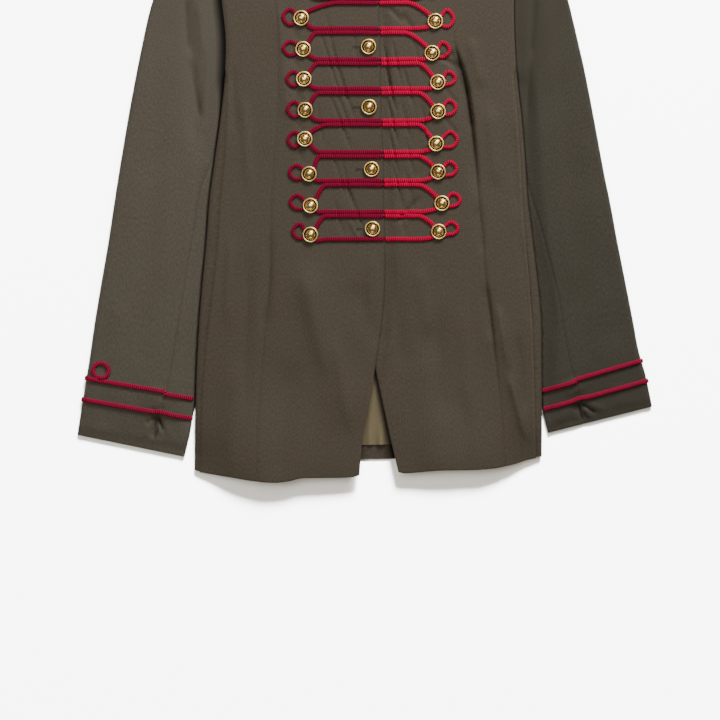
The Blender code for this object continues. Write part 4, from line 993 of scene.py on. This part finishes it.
def build_collar(made):
    """The stand collar, on the same line as its solid, with a rounded edge all round."""
    half_width, fold = NECK_HALF - COLLAR_INSET, COLLAR_FOLD
    rows = []
    for angle in np.linspace(COLLAR_FRONT[0], COLLAR_FRONT[-1], 30):
        a = radians(angle)
        down = (NECK_DROP_FRONT - COLLAR_INSET) * cos(a)
        rows.append((half_width * sin(a), down, COLLAR_BASE + 2 * fold, 0))
    for degrees in np.linspace(15, 165, 12):
        a = radians(degrees)
        across = half_width - fold + fold * sin(a)
        away = sqrt(max(0.0, 1 - (across / half_width) ** 2))
        down = mix(away * (NECK_DROP_FRONT - COLLAR_INSET), away * (NECK_DROP_BACK - COLLAR_INSET),
                   float(smooth(degrees / 180)))
        rows.append((across, down, COLLAR_BASE + fold + fold * cos(a), degrees))
    for across in np.linspace(COLLAR_BACK[0], 0, 26):
        down = (NECK_DROP_BACK - COLLAR_INSET) * sqrt(1 - (across / half_width) ** 2)
        rows.append((across, down, COLLAR_BASE, 180))
    rows += [(-a, d, z, t) for a, d, z, t in rows[-2::-1]]
    across, down, height, turn = (np.array(column)[:, None] for column in zip(*rows))
    out = np.where(np.arange(len(rows)) < (len(rows) + 1) / 2, 1, -1)[:, None]
    share = spaced(COLLAR_HEIGHT, 2.5)[None, :]
    lean = COLLAR_LEAN * (np.abs(across) / half_width) ** 2
    angle = np.radians(turn)
    x = across - out * lean * share
    d = down - COLLAR_HEIGHT * share
    rim = soft_edge(np.minimum(share, 1 - share) * COLLAR_HEIGHT, 0.5)
    nx, nz = out * np.sin(angle), np.cos(angle)
    outer = points(x - nx * rim, d, height - nz * rim)
    inner = points(x - nx * (COLLAR_WALL - rim), d, height - nz * (COLLAR_WALL - rim))
    step = np.hypot(np.diff(across[:, 0], prepend=across[0, 0]), np.diff(down[:, 0], prepend=down[0, 0]))
    uv = np.stack([np.cumsum(step)[:, None] + 0 * share, COLLAR_HEIGHT * share + 0 * x], axis=-1)
    mark = 0.6 * bell(np.minimum(share, 1 - share) * COLLAR_HEIGHT, 1.5) + 0 * x
    sewn(made, "collar", [(outer, inner, uv, mark, False)], inner="gabardine")


def sleeve_points(side, k, turn):
    """The outer and inner point of a sleeve at section k, as in the solids, and its length across."""
    rows = SLEEVES[side]
    k, turn = np.broadcast_arrays(np.asarray(k, float), np.asarray(turn, float))
    ox, od, idn, tuck = (read(rows, column, k, "station")
                         for column in ("outer_across", "outer_down", "inner_down", "tuck"))
    out = sign(side)
    ox = out * ox
    ix = edge(side, idn) - out * tuck
    roll = mix(SHOULDER_END_ROLL, SLEEVE_OUTER_ROLL, smooth(k / 5))
    curve = np.maximum(0.0, 1 - k / 4)
    long = np.hypot(ox - ix, od - idn)
    ex, ed = (ox - ix) / long, (od - idn) / long
    inner_centre = ix + ex * SLEEVE_INNER_ROLL, idn + ed * SLEEVE_INNER_ROLL
    outer_centre = ox - ex * roll, od - ed * roll

    def bowed(x, d):
        share = np.where(np.abs(od - idn) > 1, (d - idn) / np.where(np.abs(od - idn) > 1, od - idn, 1), 0.0)
        own = mix(ix, ox, np.clip(share, 0, 1))
        seam = edge(side, np.clip(d, od, idn)) + out * SEAM
        at_end = np.clip(share, 0, 1) * (edge(side, od) + out * SEAM - ox)
        return np.where((share >= 0) & (share <= 1), x + curve * (seam - own - at_end), x)

    above, below, outer_end = turn <= 1, (turn >= 2) & (turn <= 3), (turn > 1) & (turn < 2)
    share = np.where(above, turn, np.where(below, 3 - turn, np.where(outer_end, 1.0, 0.0)))
    cx, cd = mix(inner_centre[0], outer_centre[0], share), mix(inner_centre[1], outer_centre[1], share)
    high = sleeve_height(side, bowed(cx, cd), cd)
    width = np.where(outer_end, roll, SLEEVE_INNER_ROLL)
    way = np.where(outer_end, 1.0, -1.0)
    angle = pi * np.where(outer_end, 2 - turn, turn - 3)
    found = []
    for w in (0.0, WALL):
        reach = np.where(above | below, 0.0, (width - w) * np.sin(angle))
        z = np.where(above, high - w, np.where(below, w, high / 2 - (high / 2 - w) * np.cos(angle)))
        x, d = cx + way * ex * reach, cd + way * ed * reach
        found.append(points(bowed(x, d), d, z))
    return found[0], found[1], long


def build_sleeves(made):
    for side in ("left", "right"):
        rows = SLEEVES[side]
        last = rows["station"][-1]
        stations = np.concatenate([np.linspace(0, last - 0.12, last * 13),
                                   last - np.array([0.06, 0.03, 0.012, 0])])
        k = stations[:, None]
        seam = read(rows, "fore_seam", k, "station")
        _, _, long = sleeve_points(side, k, 0.5)
        half = SEAM / 2 / long
        hind = 2 + HIND_SEAM
        upper = spaced(100, 2.2)[None, :]
        top = np.hstack([mix(seam + half, 1, upper), 1 + np.linspace(0, 1, 11)[None, 1:] + 0 * k,
                         mix(2, hind - half, np.linspace(0, 1, 8)[None, 1:])])
        lower = spaced(40, 2.6)[None, :]
        under = np.hstack([mix(hind + half, 3, np.linspace(0, 1, 22)[None, :-1]),
                           3 + np.linspace(0, 1, 9)[None, :-1] + 0 * k, 4 + mix(0, seam - half, lower)])
        for part, turns in (("top", top), ("under", under)):
            on_face = np.where(turns > 4, turns - 4, turns)
            outer, inner, _ = sleeve_points(side, k, on_face)
            away = np.where(on_face <= 1, np.abs(on_face - seam) * long, 99.0)
            sunk = SLEEVE_SEAM_DEPTH * bell(away, 1.7)
            to_cuff = (last - k) * SECTION_STEP + 0 * turns
            rim = soft_edge(to_cuff, 0.6, 1.2)
            outer[..., 2] -= (sunk + rim) * (on_face <= 1)
            lowered = np.minimum(inner[..., 2], outer[..., 2] - LEAST_WALL)
            inner[..., 2] = np.where(on_face <= 1, lowered, inner[..., 2])
            # The seam mark: painted shade along the fore seam, at the armhole, in a band beside the body's
            # edge where the body's shadow falls, and in the deep creases; paler wear at the cuff
            mark = -0.3 * bell(away, 1.0) + 0.7 * bell(to_cuff, 1.5)
            mark = mark - 0.7 * bell(k * 20, 1.6)
            across, down = outer[..., 0], outer[..., 1]
            beside = np.maximum(0.0, sign(side) * (across - edge(side, down)))
            wide, narrow, depth = SLEEVE_PAINTED_SHADOWS[side]
            gap = mix(wide, narrow, smooth((down - 195) / 80))
            mark = mark - depth * np.clip(1.4 * (1 - beside / gap), 0, 1)
            deep = -creases(FINE_SLEEVE_FOLDS, across, down) * (on_face <= 1)
            mark = mark - 1.1 * np.clip(deep - 1.0, 0.0, 1.2)
            steps = np.sqrt((np.diff(outer, axis=1) ** 2).sum(-1))
            u = np.concatenate([np.zeros((len(stations), 1)), np.cumsum(steps, axis=1)], axis=1)
            u = u - u[:, :1] - (seam * long if part == "under" else 0)
            steps = np.full(len(stations) - 1, STATION_STEP)
            v = np.cumsum(np.concatenate([[0], steps]))[:, None] + 0 * turns
            grid = outer, inner, np.stack([u, v], axis=-1), np.clip(mark, *MARK_RANGE), side == "left"
            sewn(made, f"sleeve_{part}_{side}", [grid], "sleeve_" + side)


# Braid and buttons

def smooth_path(places, step):
    """Points a step apart on a smooth curve through the places."""
    places = np.asarray(places, float)
    keep = np.concatenate([[True], np.linalg.norm(np.diff(places, axis=0), axis=1) > 0.05])
    places = places[keep]
    length = np.concatenate([[0], np.cumsum(np.linalg.norm(np.diff(places, axis=0), axis=1))])
    rows = {"down": length, **{str(i): places[:, i] for i in range(places.shape[1])}}
    at = np.linspace(0, length[-1], max(3, int(length[-1] / step)))
    return np.stack([read(rows, str(i), at) for i in range(places.shape[1])], axis=-1)


def tube(path, ups, width=BRAID_WIDTH, height=BRAID_HEIGHT, share=None):
    """A flattened cord's rings of points along a path that runs through its middle, and their UVs.
    Its V is 0 along the middle of its upper side. share scales its width at each point."""
    way = np.gradient(path, axis=0)
    way /= np.linalg.norm(way, axis=1)[:, None]
    side = np.cross(way, ups)
    side /= np.linalg.norm(side, axis=1)[:, None]
    up = np.cross(side, way)
    length = np.concatenate([[0], np.cumsum(np.linalg.norm(np.diff(path, axis=0), axis=1))])
    ends = np.minimum(length, length[-1] - length)
    taper = np.sqrt(np.clip(ends / 1.2, 0.06, 1.0))[:, None]
    angle = np.linspace(0, 2 * pi, BRAID_SIDES, endpoint=False)
    a = np.sign(np.sin(angle)) * np.abs(np.sin(angle)) ** 0.8 * width / 2
    b = np.sign(np.cos(angle)) * np.abs(np.cos(angle)) ** 0.75 * height / 2
    ribs = np.sin(2 * pi * (length[:, None] + RIB_SLANT * np.abs(a)) * MM / RIB_PITCH)
    if share is not None:
        taper = taper * share[:, None]
    rings = (path[:, None, :] + side[:, None, :] * (a * taper * (1 + 0.07 * ribs))[..., None]
             + up[:, None, :] * (b * np.sqrt(taper) * (1 + 0.12 * ribs))[..., None])
    across = np.sin(angle) * width / 2
    uv = np.stack([length[:, None] + 0 * angle, across + 0 * length[:, None]], axis=-1)
    return rings, uv, np.zeros(len(path) - 1, int)


def tubes(name, cords, materials, sharp=80):
    """One object from many cords: (rings, uv, the material of each band of faces)."""
    verts, faces, uvs, slots, start = [], [], [], [], 0
    for rings, uv, bands in cords:
        count, sides = rings.shape[:2]
        ids = start + np.arange(count * sides).reshape(count, sides)
        after = np.roll(ids, -1, axis=1)
        quads = np.stack([ids[:-1], ids[1:], after[1:], after[:-1]], axis=-1).reshape(-1, 4)
        faces += quads[:, ::-1].tolist() + [ids[0].tolist(), ids[-1][::-1].tolist()]
        slots += np.repeat(bands, sides).tolist() + [0, 0]
        verts.append(metres(rings.reshape(-1, 3)))
        uvs.append(uv.reshape(-1, 2) * MM)
        start += count * sides
    return mesh_object(name, np.concatenate(verts), faces, np.concatenate(uvs), slots, materials,
                       sharp=sharp)


def evened(values):
    """The mean of each value and the two on each side."""
    return np.convolve(np.pad(values, 2, mode="edge"), np.ones(5) / 5, mode="valid")


def hermite(start, start_way, end, end_way, count):
    t = np.linspace(0, 1, count)[:, None]
    return ((2 * t**3 - 3 * t**2 + 1) * np.array(start) + (t**3 - 2 * t**2 + t) * np.array(start_way)
            + (3 * t**2 - 2 * t**3) * np.array(end) + (t**3 - t**2) * np.array(end_way))


def frog_path(side, f):
    """One frog's cord, as (across, down): out along the line above it, down its arm, under its button,
    round its loop, back under the button and along the line below it."""
    out = sign(side)
    bx, bd = FROGS[side + "_across"][f], FROGS[side + "_down"][f]
    reach, tall, drop = (LOOPS[side][c][f] for c in ("reach", "tall", "drop"))
    middle = bd + drop

    def line(which, turned, bow):
        """Half a row of braid, from the lap to where its arm leaves it."""
        own = FROG_LINES[f + which]
        down = own + (CORD_WIDTH / 2 - 0.1) * turned
        start = float(read(BODY, "lap", own)) + BRAID_END[side]
        split = out * SPLITS[side][which][f]
        ends = [(start, own + 1.0 * turned), (start - 1.6, down)] if side == "left" else [(start, down)]
        bowed = [(mix(start, split, 0.35), down + bow), (mix(start, split, 0.7), down + 0.4 * bow)]
        return ends + bowed, split, down

    bow = LINE_BOW * np.sin(f * 2.4 + (0.6 if out > 0 else 0.0))
    first, split, above = line(0, 1, bow)
    arm_in = hermite((split, above), (0.95 * (bx - split), 0), (bx - out * 5.0, bd - 6.5), (out * 9, 9), 14)
    tip_end = (bx + out * (reach - 2.6), middle)
    lowest = (bx + out * (reach - 11.5), middle + tall / 2 - 2.6)
    highest = (bx + out * (reach - 11.5), middle - tall / 2 + 2.6)
    low = hermite((bx + out * 6.5, bd + 5.0 + drop * 0.3), (out * 8, 4.5), lowest, (out * 10, 0.5), 5)
    tip = hermite(lowest, (out * 13, 0.5), tip_end, (0, -11), 6)
    top = hermite(tip_end, (0, -11), highest, (-out * 13, 0.5), 6)
    high = hermite(highest, (-out * 10, 0.5), (bx + out * 6.5, bd - 5.0 + drop * 0.3), (-out * 8, 4.5), 5)
    last, split, below = line(1, -1, -bow)
    arm_out = hermite((bx - out * 5.5, bd + 6.0), (-out * 9, 8), (split, below),
                      (0.95 * (split - bx), 0), 14)
    return np.array(first + [tuple(p) for part in (arm_in, low, tip[1:], top[1:], high[1:], arm_out)
                             for p in part] + last[::-1])


def build_frogging(made):
    for side in ("left", "right"):
        cords, buttons = [], []
        lean_phase, turn_middle, turn_swing, turn_step, turn_start = BUTTON_TURNS[side]
        for f, (bx, bd) in enumerate(zip(FROGS[side + "_across"], FROGS[side + "_down"])):
            x, d = smooth_path(frog_path(side, f), BRAID_STEP).T
            z = evened(front_surface(side, x, d) + LIE + BRAID_HEIGHT / 2)
            near = np.exp(-(((x - bx) ** 2 + (d - bd) ** 2) / 30))
            z = z + np.where(np.arange(len(x)) > len(x) / 2, near, 0.0)
            in_loop = smooth((sign(side) * (x - bx) - 3.0) / 5.0)
            cords.append(tube(points(x, d, z), UP, share=1 - LOOP_THIN * in_loop))
            lean = SIDE_BUTTON_LEAN * (0.7 + 0.5 * np.sin(f * 1.9 + lean_phase))
            turn = radians(turn_middle + turn_swing * np.sin(f * turn_step + turn_start))
            buttons.append(button_rings(bx, bd, button_seat(side, bx, bd) + SIDE_BUTTON_LIFT, lean, turn))
        item = tubes(f"frogging_{side}_braid", cords, [made["braid_" + side]])
        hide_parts("frogging_" + side)
        item = button_object(f"side_buttons_{side}", buttons, made)
        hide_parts("frogging_" + side)


def button_seat(side, across, down):
    steps = [(x * BUTTON_RADIUS, d * BUTTON_RADIUS) for x in (-1, 0, 1) for d in (-1, 0, 1)]
    return max(float(front_surface(side, across + x, down + d)) for x, d in steps) + LIE


def button_rings(across, down, seat, lean=0.0, turn=0.0):
    """A dome in a dished rim, leaning by a few degrees towards one way."""
    angle = np.linspace(0, 2 * pi, BUTTON_SIDES, endpoint=False)
    profile = smooth_path(BUTTON_PROFILE, 0.42)
    local = np.stack([profile[:, :1] * np.cos(angle), profile[:, :1] * np.sin(angle),
                      profile[:, 1:] + 0 * angle], axis=-1)
    c, s = np.cos(turn), np.sin(turn)
    sideways = local[..., 0] * c + local[..., 1] * s
    cross = -local[..., 0] * s + local[..., 1] * c
    h = local[..., 2] - 1.5
    tilted = sideways * np.cos(lean) + h * np.sin(lean)
    height = h * np.cos(lean) - sideways * np.sin(lean) + 1.5
    x = tilted * c - cross * s
    y = tilted * s + cross * c
    middle = (profile[:-1] + profile[1:]) / 2
    dished = (middle[:, 0] > BUTTON_DISH[0]) & (middle[:, 0] < BUTTON_DISH[1]) & (middle[:, 1] > 1.3)
    bands = np.where(dished, 1, np.where(middle[:, 0] > BUTTON_DISH[1], 2, 0))
    return points(across + x, down + y, seat + height), np.zeros((*x.shape, 2)), bands


def button_object(name, buttons, made):
    return tubes(name, buttons, [made["brass"], made["dish"], made["rim"]], 60)


def build_centre_buttons(made):
    for i, (x, d) in enumerate(zip(CENTRE_BUTTONS["across"], CENTRE_BUTTONS["down"])):
        rings = button_rings(x, d, button_seat("left", x, d), 0.03, i * 1.3)
        item = button_object(f"centre_button_{i + 1}_dome", [rings], made)
        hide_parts(f"centre_button_{i + 1}")


def build_buttonholes(made):
    """Worked buttonholes beside the centre buttons: two rows of close stitches, with a bar of two at
    the outer end."""
    cords = []
    for x, d in zip(CENTRE_BUTTONS["across"], CENTRE_BUTTONS["down"]):
        start, end = x - HOLE_OUT, x - HOLE_IN
        for row in (-0.85, 0.85):
            for a in np.arange(start, end, HOLE_STITCH):
                cords.append(stitch(np.linspace(a, a + 0.35, 4), d + row + np.linspace(-0.75, 0.75, 4)))
        for row in (-1, 1):
            cords.append(stitch(np.full(5, start - 0.4) + 0.35 * row, d + np.linspace(-1.6, 1.6, 5)))
    tubes("buttonhole_stitches", cords, [made["thread"]])


def stitch(across, down):
    return tube(points(across, down, front_surface("left", across, down) + 0.28), UP, 0.5, 0.45)


def build_cuff_braids(made):
    for side, row, outer_k, inner_k in zip(*(CUFF_BRAIDS[c] for c in CUFF_COLUMNS)):
        seam = float(read(SLEEVES[side], "fore_seam", outer_k, "station"))
        turns = np.concatenate([np.linspace(CUFF_STARTS[side, row], 1, 90),
                                np.linspace(1, CUFF_END, 14)[1:]])
        k = mix(inner_k, outer_k, np.clip(turns, 0, 1))
        jump, spread_out = CUFF_STEPS[side, row]
        shift = jump * (1 - smooth((turns - seam + 0.005) / 0.02)) + spread_out * bell(turns - seam, 0.06)
        turned = np.where(turns < 0, turns + 4, turns)
        outer, inner, _ = sleeve_points(side, k + shift / SECTION_STEP, turned)
        ups = outer - inner
        ups /= np.linalg.norm(ups, axis=1)[:, None]
        lie = evened(np.where((turns < 0) | (turns > 1), CUFF_FOLD_LIE, CUFF_LIE))
        cords = [tube(*resampled(outer + ups * (lie + BRAID_HEIGHT / 2)[:, None], ups))]
        if (side, row) == ("left", "upper"):
            angle = np.linspace(-0.35, 2 * pi - 0.1, 60)
            x = CUFF_RING[0] + CUFF_RING_RADIUS * np.sin(angle) * 1.02
            d = CUFF_RING[1] + CUFF_RING_RADIUS * np.cos(angle) * 0.96
            z = sleeve_height(side, x, d) + CUFF_LIE + BRAID_HEIGHT / 2 + 0.9 * bell(angle + 0.2)
            cords.append(tube(points(x, d, z), UP, width=RING_WIDTH))
        item = tubes(f"cuff_{row}_{side}_braid", cords, [made["braid_cuff_" + side]])
        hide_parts(f"cuff_braid_{row}_{side}")


def resampled(path, ups):
    joined = smooth_path(np.hstack([path, ups]), BRAID_STEP)
    return joined[:, :3], joined[:, 3:]


def build_stage():
    mesh = bpy.data.meshes.new("floor")
    far = FLOOR_HALF
    mesh.from_pydata([(-far, -far, FLOOR), (far, -far, FLOOR), (far, far, FLOOR), (-far, far, FLOOR)],
                     [], [(0, 1, 2, 3)])
    made, tree, surface = tree_of("floor_paper")
    cloud = noise(tree, add(tree, "TexCoord").outputs["Object"], 1.3, 2.0)
    feed(tree, surface, {
        "Base Color": blend(tree, cloud, rgb(FLOOR_COLOUR), rgb(FLOOR_COLOUR, 0.985)),
        "Roughness": 0.9,
        "Specular IOR Level": 0.1,
    })
    mesh.materials.append(made)
    floor = linked("floor", mesh)
    floor.visible_diffuse = False
    return floor


def build_lights(floor):
    world = bpy.data.worlds.new("studio")
    bpy.context.scene.world = world
    world.use_nodes = True
    feed(world.node_tree, world.node_tree.nodes["Background"],
         {"Color": rgb(WORLD_COLOUR), "Strength": WORLD_STRENGTH})
    for name, place, (long, deep), power, colour in LIGHTS + CARDS:
        item = lit(name, "AREA", place, Vector(LOOK_AT) - Vector(place), shape="RECTANGLE", size=long,
                   size_y=deep, energy=power, color=colour)
        item.visible_glossy = name != "overhead"
        item.visible_diffuse = not name.startswith("card")
    only_floor = bpy.data.collections.new("floor_only")
    only_floor.objects.link(floor)
    for name, place, power, angle, colour in FLOOR_LIGHTS:
        item = lit(name, "SUN", place, -Vector(place), energy=power, angle=radians(angle), color=colour)
        item.light_linking.receiver_collection = only_floor


def lit(name, kind, place, way, **settings):
    lamp = bpy.data.lights.new(name, kind)
    for key, value in settings.items():
        setattr(lamp, key, value)
    item = linked(name, lamp)
    item.location = place
    item.rotation_euler = way.to_track_quat("-Z", "Y").to_euler()
    return item


def build_camera():
    lens = bpy.data.cameras.new("camera")
    lens.sensor_width = 36
    lens.lens = 36 * CAMERA_HEIGHT / FRAME_WIDTH
    lens.clip_end = 50
    camera = linked("camera", lens)
    camera.location = (*FRAME_CENTRE, CAMERA_HEIGHT + CAMERA_ABOVE)
    bpy.context.scene.camera = camera


def main():
    made = {
        "gabardine": gabardine("gabardine_body", CLOTH_COLOUR),
        # The sleeves' copies of the cloth: painted light on the left, painted shade on the right
        "sleeve_left": gabardine("gabardine_sleeve_left_painted_light", LEFT_SLEEVE_PAINTED_LIGHT_COLOUR, 8),
        "sleeve_right": gabardine("gabardine_sleeve_right_painted_shade", RIGHT_SLEEVE_PAINTED_SHADE_COLOUR, -8),
        "lining": satin("lining_satin"),
        # The fronts' braids: painted shade on the left, painted light on the right
        "braid_left": braid_material("braid_left", *BRAID_LEFT_PAINTED_SHADE),
        "braid_right": braid_material("braid_right", *BRAID_RIGHT_PAINTED_LIGHT),
        "braid_cuff_left": braid_material("braid_cuff_left", *BRAID_CUFF),
        "braid_cuff_right": braid_material("braid_cuff_right", *BRAID_CUFF),
        "brass": brass("brass_polished", *BRASS_POLISHED),
        # The dish: painted shade in the button's groove
        "dish": brass("brass_dish_painted_shade", *BRASS_DISH_PAINTED_SHADE),
        "rim": brass("brass_rim", *BRASS_RIM),
        "thread": thread("buttonhole_thread", THREAD_COLOUR),
        "pieces": {},
    }
    build_front_panels(made)
    build_back(made)
    build_lining(made)
    build_collar(made)
    build_sleeves(made)
    build_frogging(made)
    build_centre_buttons(made)
    build_buttonholes(made)
    build_cuff_braids(made)
    build_lights(build_stage())
    build_camera()


main()
